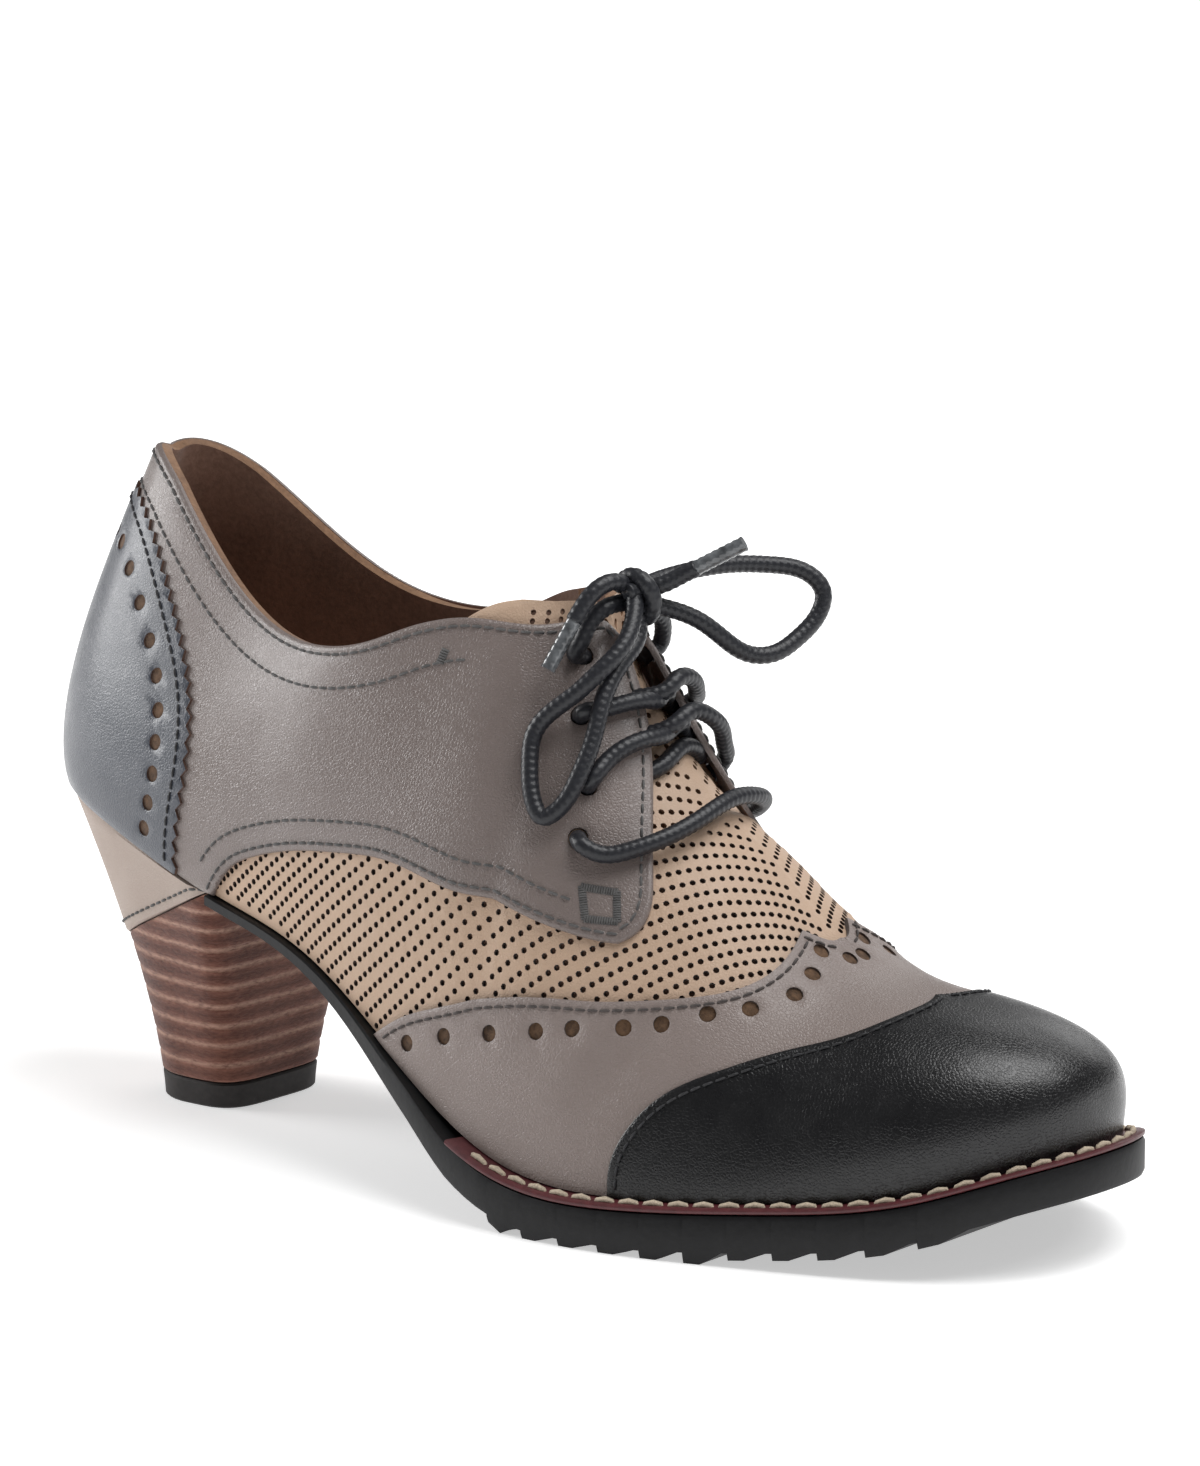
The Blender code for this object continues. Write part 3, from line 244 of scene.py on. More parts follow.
# Brogue holes of the wing and the counter: station, height
WING_HOLES = ((0.487, 0.062), (0.512, 0.138), (0.542, 0.200), (0.571, 0.263), (0.592, 0.312), (0.621, 0.363),
              (0.642, 0.400), (0.667, 0.463), (0.692, 0.525), (0.721, 0.638), (0.733, 0.750), (0.738, 0.863),
              (0.772, 0.955))
COUNTER_HOLES = ((0.035, 0.745), (0.068, 0.740), (0.100, 0.730), (0.134, 0.706), (0.163, 0.670),
                 (0.188, 0.620), (0.208, 0.560), (0.223, 0.480), (0.233, 0.388), (0.242, 0.290),
                 (0.247, 0.190), (0.250, 0.095))
# The knot's strands, as points from its middle
KNOT_BODY = (((0.0010, -0.0034, -0.0016), (0.0016, 0.0, -0.0014), (0.0010, 0.0036, -0.0008)),
             ((0.0008, -0.0036, 0.0014), (0.0012, 0.0, 0.0017), (0.0006, 0.0036, 0.0016)))
KNOT_WRAP = ((-0.0020, 0.0006, -0.0034), (0.0016, 0.0010, -0.0038), (0.0036, 0.0004, -0.0018),
             (0.0038, -0.0004, 0.0014), (0.0018, -0.0010, 0.0037), (-0.0014, -0.0008, 0.0036),
             (-0.0034, -0.0002, 0.0012))
# Where each loop starts and ends in the knot, and the places that each tail takes through it, from its middle
LOOP_ENDS = {
    OUTER: ((0.0008, -0.0012, -0.0016), (0.0006, -0.0010, 0.0012)),
    INNER: ((0.0004, 0.0014, 0.0016), (0.0008, 0.0012, -0.0012)),
}
TAIL_PLACES = {
    OUTER: ((-0.0016, -0.0008, -0.0008), (0.0006, 0.0012, 0.0010)),
    INNER: ((-0.0018, 0.0010, 0.0004), (-0.0008, -0.0016, 0.0022)),
}
# A strand that crosses under the flaps, seen between them
HIDDEN_STRAND = ((OUTER, 0.586, 0.840, -1.75), (OUTER, 0.593, 0.920, -1.20), (OUTER, 0.594, 1.000, -1.20),
                 (INNER, 0.588, 0.920, -1.40), (INNER, 0.582, 0.850, -1.75))

# Light: the room's own, the floor's glow, then each lamp as name, place, size, power
ROOM_LIGHT, FLOOR_GLOW = 0.14, 0.50
LIGHTS = (
    ("window", (-1.05, -0.38, 0.44), 0.6, 8.4),
    ("top", (0.42, 0.12, 1.1), 0.7, 9.2),
    ("front", (0.95, 0.30, 0.95), 0.35, 2.0),
    ("back", (0.0, 1.0, 0.6), 0.8, 2.4),
)
LIGHT_AIM = (0.08, 0, 0.05)
# The floor: half its side, and between which distances its glow grows to full white
FLOOR_HALF = 6.0
GLOW_NEAR, GLOW_FAR, GLOW_FULL = 0.25, 1.1, 1.05

# Feather edge in plan: station, half breadth on the outer side, on the inner side, as shares of BALL_WIDTH
OUTLINE = (
    (0.00, 0.595, 0.600),
    (0.20, 0.445, 0.430),
    (0.35, 0.405, 0.320),
    (0.50, 0.490, 0.300),
    (0.62, 0.560, 0.380),
    (0.72, 0.545, 0.475),
    (0.82, 0.572, 0.540),
    (0.92, 0.590, 0.550),
    (1.00, 0.590, 0.590),
)
# Swing of the toe to the inner side: share of length, share of BALL_WIDTH
MIDDLE = ((0.00, 0.000), (0.50, 0.000), (0.75, 0.020), (1.00, 0.050))
# Feather edge from the side: share of length, share of the seat's rise, share of TOE_SPRING
BOTTOM = (
    (0.000, 1.00, 0.00),
    (0.100, 0.90, 0.00),
    (0.220, 0.74, 0.00),
    (0.354, 0.59, 0.00),
    (0.486, 0.25, 0.00),
    (0.587, 0.03, 0.00),
    (0.710, -0.01, 0.00),
    (0.830, 0.00, 0.15),
    (0.930, 0.00, 0.50),
    (1.000, 0.00, 1.00),
    (1.030, 0.00, 1.17),
)
# Top of each section: station, share of length, half opening outer and inner as shares of COLLAR_WIDTH,
# rise above the feather edge as a share of BACK_HEIGHT
TOP = (
    (-0.14, 0.129, -0.22, -0.26, 0.994),
    (0.00, 0.075, 0.00, 0.00, 1.015),
    (0.14, 0.129, 0.22, 0.26, 0.994),
    (0.26, 0.262, 0.40, 0.43, 0.812),
    (0.38, 0.396, 0.50, 0.49, 0.960),
    (0.47, 0.496, 0.34, 0.34, 1.290),
    (0.505, 0.540, 0.20, 0.20, 1.370),
    (0.53, 0.556, 0.00, 0.00, 1.410),
    (0.60, 0.628, 0.00, 0.00, 1.040),
    (0.68, 0.712, 0.00, 0.00, 0.790),
    (0.78, 0.781, 0.00, 0.00, 0.570),
    (0.84, 0.826, 0.00, 0.00, 0.510),
    (0.90, 0.860, 0.00, 0.00, 0.480),
    (0.95, 0.880, 0.00, 0.00, 0.460),
    (1.00, 0.893, 0.00, 0.00, 0.445),
)
# Ridge of the instep and toe: share of length, height above the floor as a share of INSTEP_HEIGHT
RIDGE = (
    (0.450, 1.060),
    (0.507, 1.080),
    (0.556, 1.040),
    (0.628, 0.790),
    (0.712, 0.620),
    (0.781, 0.475),
    (0.870, 0.420),
    (0.930, 0.405),
    (1.000, 0.385),
)
# Section shape: station, how far it is a roof over the foot, its fullness, its lean, bulge outer and inner as
# shares of BALL_WIDTH, place of the bulge
SHAPE = (
    (0.00, 0.0, 2.0, 0.0, 0.068, 0.068, 0.66),
    (0.20, 0.0, 2.0, 0.0, 0.052, 0.046, 0.70),
    (0.35, 0.1, 2.0, 0.0, 0.032, 0.023, 0.80),
    (0.47, 0.4, 2.0, 0.0, 0.024, 0.012, 0.80),
    (0.55, 0.8, 2.0, 0.2, 0.012, 0.006, 0.80),
    (0.65, 1.0, 2.0, 0.3, 0.012, 0.008, 0.80),
    (0.80, 1.0, 2.5, 0.0, 0.012, 0.016, 0.80),
    (1.00, 1.0, 3.8, 0.0, 0.010, 0.010, 0.80),
)

# Seams and edges on the last, as (station, height)
COLLAR = ((0.14, 1.0), (0.21, 0.985), (0.30, 0.975), (0.38, 0.965), (0.436, 0.956), (0.50, 0.938),
          (0.548, 0.962))
FLAP_FRONT = ((0.552, 0.962), (0.568, 0.945), (0.581, 0.915), (0.592, 0.863), (0.604, 0.775), (0.614, 0.690),
              (0.618, 0.628), (0.614, 0.562), (0.606, 0.522))
FLAP_BOTTOM = ((0.606, 0.522), (0.594, 0.497), (0.576, 0.462), (0.550, 0.424), (0.518, 0.403), (0.484, 0.391),
               (0.446, 0.366), (0.412, 0.318), (0.374, 0.262), (0.350, 0.207), (0.332, 0.135), (0.321, 0.0))
WING_EDGE = ((0.462, 0.0), (0.479, 0.088), (0.500, 0.163), (0.537, 0.250), (0.583, 0.350), (0.629, 0.435),
             (0.662, 0.500), (0.688, 0.588), (0.704, 0.690), (0.713, 0.800), (0.716, 0.868))
WING_DIP = ((0.716, 0.868), (0.736, 0.912), (0.750, 0.955), (0.758, 1.0))
CAP_EDGE = ((0.625, 0.0), (0.625, 0.065), (0.633, 0.150), (0.650, 0.238), (0.683, 0.338), (0.725, 0.448),
            (0.775, 0.562), (0.825, 0.725), (0.860, 0.870), (0.887, 1.0))
COUNTER_EDGE = ((0.0, 0.880), (0.080, 0.868), (0.163, 0.812), (0.200, 0.738), (0.242, 0.588), (0.267, 0.375),
                (0.279, 0.163), (0.287, 0.0))
SLOT_EDGE = ((0.436, 0.956), (0.445, 0.870), (0.480, 0.790), (0.520, 0.730), (0.560, 0.700), (0.595, 0.710),
             (0.618, 0.790), (0.636, 0.900), (0.640, 1.0))
TONGUE_EDGE = ((0.446, 0.930), (0.452, 0.872), (0.484, 0.797), (0.522, 0.739), (0.560, 0.709), (0.592, 0.719),
               (0.614, 0.796), (0.632, 0.905), (0.636, 1.0))
TONGUE_TOP = ((0.446, 0.930), (0.456, 0.962), (0.466, 0.985), (0.480, 1.0))
FLAP_CORNER = (0.5505, 0.9635)
EYELETS = ((0.571, 0.625), (0.567, 0.713), (0.550, 0.790), (0.533, 0.868))
# Stretch of the tongue that the crossings press in: stations, then heights from no dip to the full one
DIP_STATIONS = (0.490, 0.620)
DIP_HEIGHTS = (0.74, 0.82)

# Lace over the flaps: side, station, height, lift of the lace's middle above the leather in lace radii
LACE_BAR = (
    (OUTER, 0.574, 0.618, 1.25), (OUTER, 0.583, 0.632, 1.30), (OUTER, 0.597, 0.690, 1.35),
    (OUTER, 0.611, 0.772, 1.35), (OUTER, 0.622, 0.876, 1.30), (OUTER, 0.628, 1.000, 1.40),
    (INNER, 0.619, 0.900, 1.60), (INNER, 0.606, 0.810, 1.70), (INNER, 0.590, 0.715, 1.50),
    (INNER, 0.575, 0.638, 1.25),
)
LOWER_CROSSING = (
    ((OUTER, 0.568, 0.722, 1.25), (OUTER, 0.570, 0.760, 1.25), (OUTER, 0.574, 0.815, 1.35),
     (OUTER, 0.580, 0.875, 1.40), (OUTER, 0.585, 0.930, 0.70), (OUTER, 0.586, 0.976, -0.15),
     (INNER, 0.584, 0.972, -0.55),
     (INNER, 0.581, 0.930, -1.60), (INNER, 0.575, 0.860, -1.70)),
    ((INNER, 0.568, 0.730, 1.25), (INNER, 0.575, 0.800, 1.50), (INNER, 0.581, 0.880, 2.10),
     (INNER, 0.584, 0.945, 2.40), (INNER, 0.585, 1.000, 2.10), (OUTER, 0.585, 0.965, 1.45),
     (OUTER, 0.584, 0.940, 0.55), (OUTER, 0.581, 0.915, -0.70), (OUTER, 0.576, 0.870, -1.65)),
)
UPPER_CROSSING = (
    ((OUTER, 0.552, 0.796, 1.25), (OUTER, 0.557, 0.820, 1.25), (OUTER, 0.564, 0.865, 1.35),
     (OUTER, 0.571, 0.920, 1.35), (OUTER, 0.575, 0.960, 0.50), (OUTER, 0.575, 0.990, -0.15),
     (INNER, 0.574, 0.985, -0.40),
     (INNER, 0.571, 0.945, -1.60), (INNER, 0.564, 0.880, -1.70)),
    ((INNER, 0.552, 0.800, 1.25), (INNER, 0.561, 0.860, 1.50), (INNER, 0.568, 0.930, 2.10),
     (INNER, 0.573, 1.000, 2.10), (OUTER, 0.574, 0.975, 1.50),
     (OUTER, 0.572, 0.950, 0.55), (OUTER, 0.568, 0.925, -0.70), (OUTER, 0.561, 0.885, -1.65)),
)
# The bow, as points through which each stretch runs
RISE_OUTER = ((0.0960, -0.0122, 0.1001), (0.0971, -0.0119, 0.1022), (0.0978, -0.0106, 0.1052),
              (0.0994, -0.0067, 0.1084))
RISE_INNER = ((0.0962, 0.0123, 0.0981), (0.0971, 0.0122, 0.1004), (0.0983, 0.0104, 0.1034),
              (0.0991, 0.0070, 0.1057), (0.0997, 0.0033, 0.1073))
LOOP_OUTER = ((0.1033, -0.0027, 0.1039), (0.1046, -0.0095, 0.0987), (0.1055, -0.0162, 0.0923),
              (0.1063, -0.0196, 0.0866), (0.1063, -0.0240, 0.0801), (0.1044, -0.0268, 0.0749),
              (0.1017, -0.0284, 0.0730), (0.0990, -0.0280, 0.0758), (0.0965, -0.0258, 0.0816),
              (0.0956, -0.0232, 0.0872), (0.0979, -0.0214, 0.0908), (0.1017, -0.0190, 0.0943),
              (0.1049, -0.0160, 0.0984), (0.1063, -0.0117, 0.1020), (0.1046, -0.0057, 0.1074))
LOOP_INNER = ((0.1013, 0.0041, 0.1117), (0.1043, 0.0130, 0.1131), (0.1076, 0.0207, 0.1134),
              (0.1113, 0.0270, 0.1128), (0.1160, 0.0320, 0.1109), (0.1183, 0.0332, 0.1078),
              (0.1185, 0.0318, 0.1039), (0.1173, 0.0273, 0.0999), (0.1155, 0.0215, 0.0973),
              (0.1134, 0.0175, 0.0976), (0.1112, 0.0126, 0.1009), (0.1083, 0.0086, 0.1047),
              (0.1040, 0.0033, 0.1074))
END_OUTER = ((0.1006, -0.0070, 0.1131), (0.0998, -0.0104, 0.1122), (0.0986, -0.0133, 0.1091),
             (0.0979, -0.0148, 0.1066))
END_INNER = ((0.1051, 0.0021, 0.1119), (0.1074, 0.0044, 0.1134), (0.1099, 0.0060, 0.1150))


SIDES = ((OUTER, "outer"), (INNER, "inner"))


def spline(table, column, at):
    """The natural cubic spline through a table's first column and another one."""
    xs = np.array([row[0] for row in table])
    ys = np.array([row[column] for row in table])
    at = np.clip(np.asarray(at, float), xs[0], xs[-1])
    gaps = np.diff(xs)
    n = len(xs)
    rows, right = np.eye(n), np.zeros(n)
    for i in range(1, n - 1):
        rows[i, i - 1:i + 2] = gaps[i - 1], 2 * (gaps[i - 1] + gaps[i]), gaps[i]
        right[i] = 6 * ((ys[i + 1] - ys[i]) / gaps[i] - (ys[i] - ys[i - 1]) / gaps[i - 1])
    bend = np.linalg.solve(rows, right)
    k = np.clip(np.searchsorted(xs, at) - 1, 0, n - 2)
    gap, left, over = gaps[k], xs[k + 1] - at, at - xs[k]
    curved = (bend[k] * left ** 3 + bend[k + 1] * over ** 3) / (6 * gap)
    start, end = ys[k] / gap - bend[k] * gap / 6, ys[k + 1] / gap - bend[k + 1] * gap / 6
    return curved + start * left + end * over


def run_along(line):
    """How far along a line each of its points is."""
    return np.append(0, np.cumsum(np.linalg.norm(np.diff(line, axis=0), axis=1)))


def x_at(share):
    return LAST_LENGTH * share - HEEL_BACK


def share_at(x):
    return (np.asarray(x, float) + HEEL_BACK) / LAST_LENGTH


def share_of(u):
    return (1 - np.cos(np.pi * np.asarray(u, float))) / 2


def feather_height(share):
    rise = SEAT_HEIGHT - FOREPART_HEIGHT
    return FOREPART_HEIGHT + rise * spline(BOTTOM, 1, share) + TOE_SPRING * spline(BOTTOM, 2, share)


def side_column(side, first):
    return first if side == OUTER else first + 1


def feather_plan(side, u):
    """The feather edge from above."""
    u = np.asarray(u, float)
    share = share_of(u)
    rounded = np.abs(np.sin(np.pi * u)) ** END_ROUNDING
    half = BALL_WIDTH * spline(OUTLINE, side_column(side, 1), u) * rounded
    return np.stack([x_at(share), SEAT_SIDE + BALL_WIDTH * spline(MIDDLE, 1, share) + side * half], -1)


def outward(side, u):
    """The way out from the feather edge, from above."""
    u = np.asarray(u, float)
    step = 1e-3
    way = feather_plan(side, np.clip(u + step, 0, 1)) - feather_plan(side, np.clip(u - step, 0, 1))
    out = np.stack([side * -way[..., 1], side * way[..., 0]], -1)
    out = out / np.linalg.norm(out, axis=-1, keepdims=True)
    out[u <= 0] = (-1, 0)
    out[u >= 1] = (1, 0)
    return out


def sections(side, stations):
    """The last's surface: a section for each station, its points evenly spaced from feather edge to top."""
    turn = np.linspace(0, 1, PROFILE_STEPS)
    angle = turn * np.pi / 2
    found = []
    for u, low, out in zip(stations, feather_plan(side, stations), outward(side, stations)):
        roof, full, lean = (float(spline(SHAPE, column, u)) for column in (1, 2, 3))
        bulge = float(spline(SHAPE, side_column(side, 4), u)) * BALL_WIDTH
        place = float(spline(SHAPE, 6, u))
        roof = min(max(roof, 0), 1)
        foot = float(feather_height(share_of(u)))
        share = float(spline(TOP, 1, u))
        opening = float(spline(TOP, side_column(side, 2), u)) * COLLAR_WIDTH if u < RIDGE_START - 1e-9 else 0
        middle = SEAT_SIDE + BALL_WIDTH * float(spline(MIDDLE, 1, share))
        top = np.array([x_at(share), middle + side * opening])
        rim = float(feather_height(share)) + BACK_HEIGHT * float(spline(TOP, 4, u))
        round_in = (1 - lean) * (1 - np.cos(angle) ** (2 / full)) + lean * turn
        inward = roof * round_in + (1 - roof) * turn
        upward = roof * np.sin(angle) ** (2 / full) + (1 - roof) * turn
        swell = bulge * np.sin(np.pi * turn ** place)
        flat = low + (top - low) * inward[:, None] + out * swell[:, None]
        crown = (1 - roof) * rim + roof * INSTEP_HEIGHT * spline(RIDGE, 1, share_at(flat[:, 0]))
        points = np.column_stack([flat, foot + (crown - foot) * upward])
        run = run_along(points)
        even = np.linspace(0, run[-1], FINE_HEIGHTS)
        found.append(np.column_stack([np.interp(even, run, points[:, i]) for i in range(3)]))
    return np.array(found)


def near_line(points, line):
    """How far each point is from a line through other points, both in metres."""
    a, b = line[:-1], line[1:]
    way = b - a
    found = np.full(len(points), np.inf)
    batch = 4000
    for start in range(0, len(points), batch):
        part = points[start:start + batch, None] - a[None]
        share = np.clip((part * way).sum(-1) / np.maximum((way * way).sum(-1), 1e-18), 0, 1)
        found[start:start + batch] = np.linalg.norm(part - share[..., None] * way, axis=-1).min(1)
    return found


class Last:
    """Both sides of the last's surface on a fine grid, with the way out at each point and wear creases."""

    def __init__(self):
        self.stations = np.linspace(0, 1, FINE_STATIONS)
        self.points = {side: sections(side, self.stations) for side in (OUTER, INNER)}
        self.turn_out()
        for side in (OUTER, INNER):
            self.points[side] = self.points[side] + self.outs[side] * self.creases(side)[..., None]
        self.turn_out()

    def creases(self, side):
        """How far the creases move the surface out."""
        flat = self.points[side].reshape(-1, 3)
        moved = np.zeros(len(flat))
        for u_w, width, rise in CREASES[side]:
            places = np.array(u_w)
            t = np.linspace(0, 1, CREASE_STEPS)
            knots = np.linspace(0, 1, len(places))
            line = self.at(side, np.interp(t, knots, places[:, 0]), np.interp(t, knots, places[:, 1]))
            ends = np.linalg.norm(flat[:, None] - line[[0, -1]][None], axis=-1).min(1)
            fade = np.clip(ends / (CREASE_FADE * width), CREASE_LEAST, 1)
            moved += rise * fade * np.exp(-(near_line(flat, line) / width) ** 2)
        return moved.reshape(self.points[side].shape[:2])

    def turn_out(self):
        self.outs = {side: self.directions(side) for side in (OUTER, INNER)}
        ridge = self.stations > RIDGE_START - 1e-9
        for seam in ((ridge, -1), (0, slice(None)), (-1, slice(None))):
            shared = self.outs[OUTER][seam] + self.outs[INNER][seam]
            for side in (OUTER, INNER):
                self.outs[side][seam] = shared / np.linalg.norm(shared, axis=-1, keepdims=True)
        for side in (OUTER, INNER):
            level = self.outs[side][:, 0] * (1, 1, 0)
            self.outs[side][:, 0] = level / np.linalg.norm(level, axis=-1, keepdims=True)

    def directions(self, side):
        near, far = self.points[side], self.points[-side]
        along_u = np.concatenate([far[1:2], near, far[-2:-1]])
        step_u = along_u[2:] - along_u[:-2]
        over = 2 * near[:, -1:] - near[:, -2:-1]
        ridge = self.stations > RIDGE_START - 1e-9
        over[ridge] = far[ridge, -2:-1]
        under = 2 * near[:, :1] - near[:, 1:2]
        along_w = np.concatenate([under, near, over], 1)
        out = side * np.cross(along_w[:, 2:] - along_w[:, :-2], step_u)
        out[-1, -1] = out[-2, -1]
        return out / np.linalg.norm(out, axis=-1, keepdims=True)

    def at(self, side, u, w, depth=0.0):
        """Points at stations u and heights w, moved out by depth."""
        u, w = np.broadcast_arrays(np.asarray(u, float), np.asarray(w, float))
        i, a = np.divmod(np.clip(u, 0, 1) * (FINE_STATIONS - 1), 1)
        j, b = np.divmod(np.clip(w, 0, 1) * (FINE_HEIGHTS - 1), 1)
        i, j = i.astype(int), j.astype(int)
        i2, j2 = np.minimum(i + 1, FINE_STATIONS - 1), np.minimum(j + 1, FINE_HEIGHTS - 1)
        a, b = a[..., None], b[..., None]

        def blend(grid):
            near = grid[i, j] * (1 - b) + grid[i, j2] * b
            far = grid[i2, j] * (1 - b) + grid[i2, j2] * b
            return near * (1 - a) + far * a

        out = blend(self.outs[side])
        out = out / np.linalg.norm(out, axis=-1, keepdims=True)
        return blend(self.points[side]) + out * np.asarray(depth)[..., None]


LAST = Last()


def through(points, step=EDGE_STEP, side=OUTER):
    """(station, height) pairs along a smooth curve through points, about one step apart."""
    points = np.array(points)
    run = run_along(LAST.at(side, points[:, 0], points[:, 1]))
    table = np.column_stack([run, points])
    count = max(2, int(math.ceil(run[-1] / step)) + 1)
    even = np.linspace(0, run[-1], count)
    return [(round(float(spline(table, 1, t)), 8), round(float(spline(table, 2, t)), 8)) for t in even]


def along_border(start, end):
    """Points on a border of the surface, from start to end, at the facets' own stations and heights."""
    axis = 0 if start[1] == end[1] else 1
    stops = np.array(STATIONS if axis == 0 else HEIGHTS)
    low, high = sorted((start[axis], end[axis]))
    inner = sorted(t for t in stops if low + 1e-3 < t < high - 1e-3)
    if start[axis] > end[axis]:
        inner.reverse()
    between = [(float(t), start[1]) if axis == 0 else (start[0], float(t)) for t in inner]
    return [start, *between, end]


def inside(points, outline):
    """Which points lie inside a closed outline."""
    points, outline = np.asarray(points), np.asarray(outline)
    found = np.zeros(len(points), bool)
    for a, b in zip(outline, np.roll(outline, -1, axis=0)):
        crosses = (a[1] > points[:, 1]) != (b[1] > points[:, 1])
        rise = b[1] - a[1] if b[1] != a[1] else 1e-12
        found ^= crosses & (points[:, 0] < (b[0] - a[0]) * (points[:, 1] - a[1]) / rise + a[0])
    return found


def under_upper(x):
    return float(feather_height(share_at(x)))


def welt_share(x):
    """How far the welt is between upper and sole: 0 behind its start, 1 before it."""
    start = float(x_at(share_of(WELT_START)))
    return min(max((x - start + WELT_LEAD) / WELT_RUN, 0.0), 1.0)


def sole_top(x):
    return under_upper(x) - GAP - welt_share(x) * (WELT_THICKNESS + GAP)


def sole_margin(u):
    """How far the outsole's edge stands out from the feather edge."""
    ahead = np.clip((u - EDGE_SPREAD_START) / EDGE_SPREAD_RUN, 0, 1)
    smooth = ahead * ahead * (3 - 2 * ahead)
    return (SHANK_EDGE + (WELT_EDGE - SHANK_EDGE) * smooth)[..., None]


def lug_stations():
    """Stations of the lugs: each has a land on the floor, then rises forward to its root."""
    found = []
    for k in range(LUG_COUNT):
        x = float(x_at(FIRST_LUG + k * LUG_PITCH))
        root = float(x_at(FIRST_LUG + (k + 1) * LUG_PITCH)) - LUG_ROOT
        found += [(x, 0.0), (x + LUG_EDGE, 1.0), (x + LUG_LAND, 1.0), (root, 0.0)]
    return found


def sole_floor(x):
    """The outsole's underside between its lugs."""
    ahead = min(max((float(share_at(x)) - THICKENING[0]) / (THICKENING[1] - THICKENING[0]), 0), 1)
    thick = SHANK_THICKNESS + (SOLE_THICKNESS - SHANK_THICKNESS) * ahead * ahead * (3 - 2 * ahead)
    return max(sole_top(x) - thick, LUG_DEPTH - LUG_LAP)


def heel_outline(turns, margin):
    """The heel's outline at the seat and at the floor, as points round the middle of the tip."""
    u_end = float(np.arccos(1 - 2 * share_at(BREAST)) / np.pi)
    us = np.linspace(0, u_end, HEEL_EDGE_PLACES)
    edge = [feather_plan(side, us) for side in (OUTER, INNER)]
    ring = np.concatenate([edge[0][::-1], edge[1][1:]])
    closed = np.concatenate([ring, ring[:1]])
    centre = np.array([HEEL_MIDDLE, SEAT_SIDE])
    fine = np.linspace(0, 2 * math.pi, HEEL_TURNS_FINE, endpoint=False)
    reach = []
    for turn in fine:
        way = np.array([math.cos(turn), math.sin(turn)])
        best = 0
        for a, b in zip(closed[:-1], closed[1:]):
            cross = way[0] * (b - a)[1] - way[1] * (b - a)[0]
            if abs(cross) < 1e-12:
                continue
            along = ((a - centre)[0] * (b - a)[1] - (a - centre)[1] * (b - a)[0]) / cross
            across = ((a - centre)[0] * way[1] - (a - centre)[1] * way[0]) / cross
            if along > 0 and -1e-9 <= across <= 1 + 1e-9:
                best = max(best, along)
        reach.append(best)
    near = np.minimum(fine, 2 * math.pi - fine)
    weights = np.exp(-(near / CORNER_BLUR) ** 2)
    shifted = [np.roll(reach, k) * weight for k, weight in enumerate(weights) if weight > 1e-3]
    rounded = np.minimum(reach, sum(shifted) / weights.sum())
    seat, tip = [], []
    for turn in turns:
        way = np.array([math.cos(turn), math.sin(turn)])
        seat.append(centre + way * (np.interp(turn, fine, rounded, period=2 * math.pi) + margin))
        power = TIP_POWERS[0] if way[0] > 0 else TIP_POWERS[1]
        long, wide = HEEL_TIP_LENGTH / 2, HEEL_TIP_WIDTH / 2
        edge = ((abs(way[0]) / long) ** power + (abs(way[1]) / wide) ** power) ** (-1 / power)
        tip.append(way * (edge + margin))
    return np.array(seat), np.array(tip)


def smooth_run(route, spacing):
    """Evenly spaced points on the smooth curve through a route's own points."""
    route = np.array(route, float)
    run = run_along(route)
    table = np.column_stack([run, route])
    even = np.linspace(0, run[-1], max(3, round(run[-1] / spacing) + 1))
    return np.column_stack([spline(table, column, even) for column in (1, 2, 3)])


def over_flaps(rows):
    """A lace route from its rows of side, station, height and lift."""
    return [LAST.at(side, u, w, lift * LACE_RADIUS) for side, u, w, lift in rows]


def is_seam(p, q):
    """Whether the edge from p to q lies where the two sides of the last meet."""
    ends = any(abs(p[0] - end) + abs(q[0] - end) < 1e-7 for end in (0, 1))
    ridge = p[1] + q[1] > 2 - 1e-7 and min(p[0], q[0]) >= RIDGE_START - 1e-6
    return ends or ridge


def spans(side, u, w):
    """The surface's steps per unit of station and of height at places on it, as vectors."""
    step = 2e-3
    u, w = np.asarray(u, float), np.asarray(w, float)
    u1, u2 = np.clip(u - step, 0, 1 - step), np.clip(u + step, step, 1)
    w1, w2 = np.clip(w - step, 0, 1 - step), np.clip(w + step, step, 1)
    along = (LAST.at(side, u2, w) - LAST.at(side, u1, w)) / (u2 - u1)[..., None]
    up = (LAST.at(side, u, w2) - LAST.at(side, u, w1)) / (w2 - w1)[..., None]
    return along, up


def moved_in(side, line, distance, left=True):
    """A line of (station, height) moved sideways over the surface by a distance in metres."""
    line = np.array(line, float)
    steps = max(1, int(math.ceil(distance / 0.002)))
    for _ in range(steps):
        way = np.gradient(line, axis=0)
        along, up = spans(side, line[:, 0], line[:, 1])
        e, f, g = (along * along).sum(1), (along * up).sum(1), (up * up).sum(1)
        turned = np.column_stack([-(f * way[:, 0] + g * way[:, 1]), e * way[:, 0] + f * way[:, 1]])
        turned /= np.sqrt(np.maximum(e * g - f * f, 1e-18))[:, None]
        reach = np.sqrt(e * way[:, 0] ** 2 + 2 * f * way[:, 0] * way[:, 1] + g * way[:, 1] ** 2)
        line = line + turned / reach[:, None] * (distance / steps) * (1 if left else -1)
    return line


def evenly(side, line, step):
    """The same line with points one step apart in metres."""
    line = np.array(line, float)
    places = LAST.at(side, np.clip(line[:, 0], 0, 1), np.clip(line[:, 1], 0, 1))
    run = run_along(places)
    even = np.linspace(0, run[-1], max(2, round(run[-1] / step) + 1))
    return np.column_stack([np.interp(even, run, line[:, k]) for k in (0, 1)])


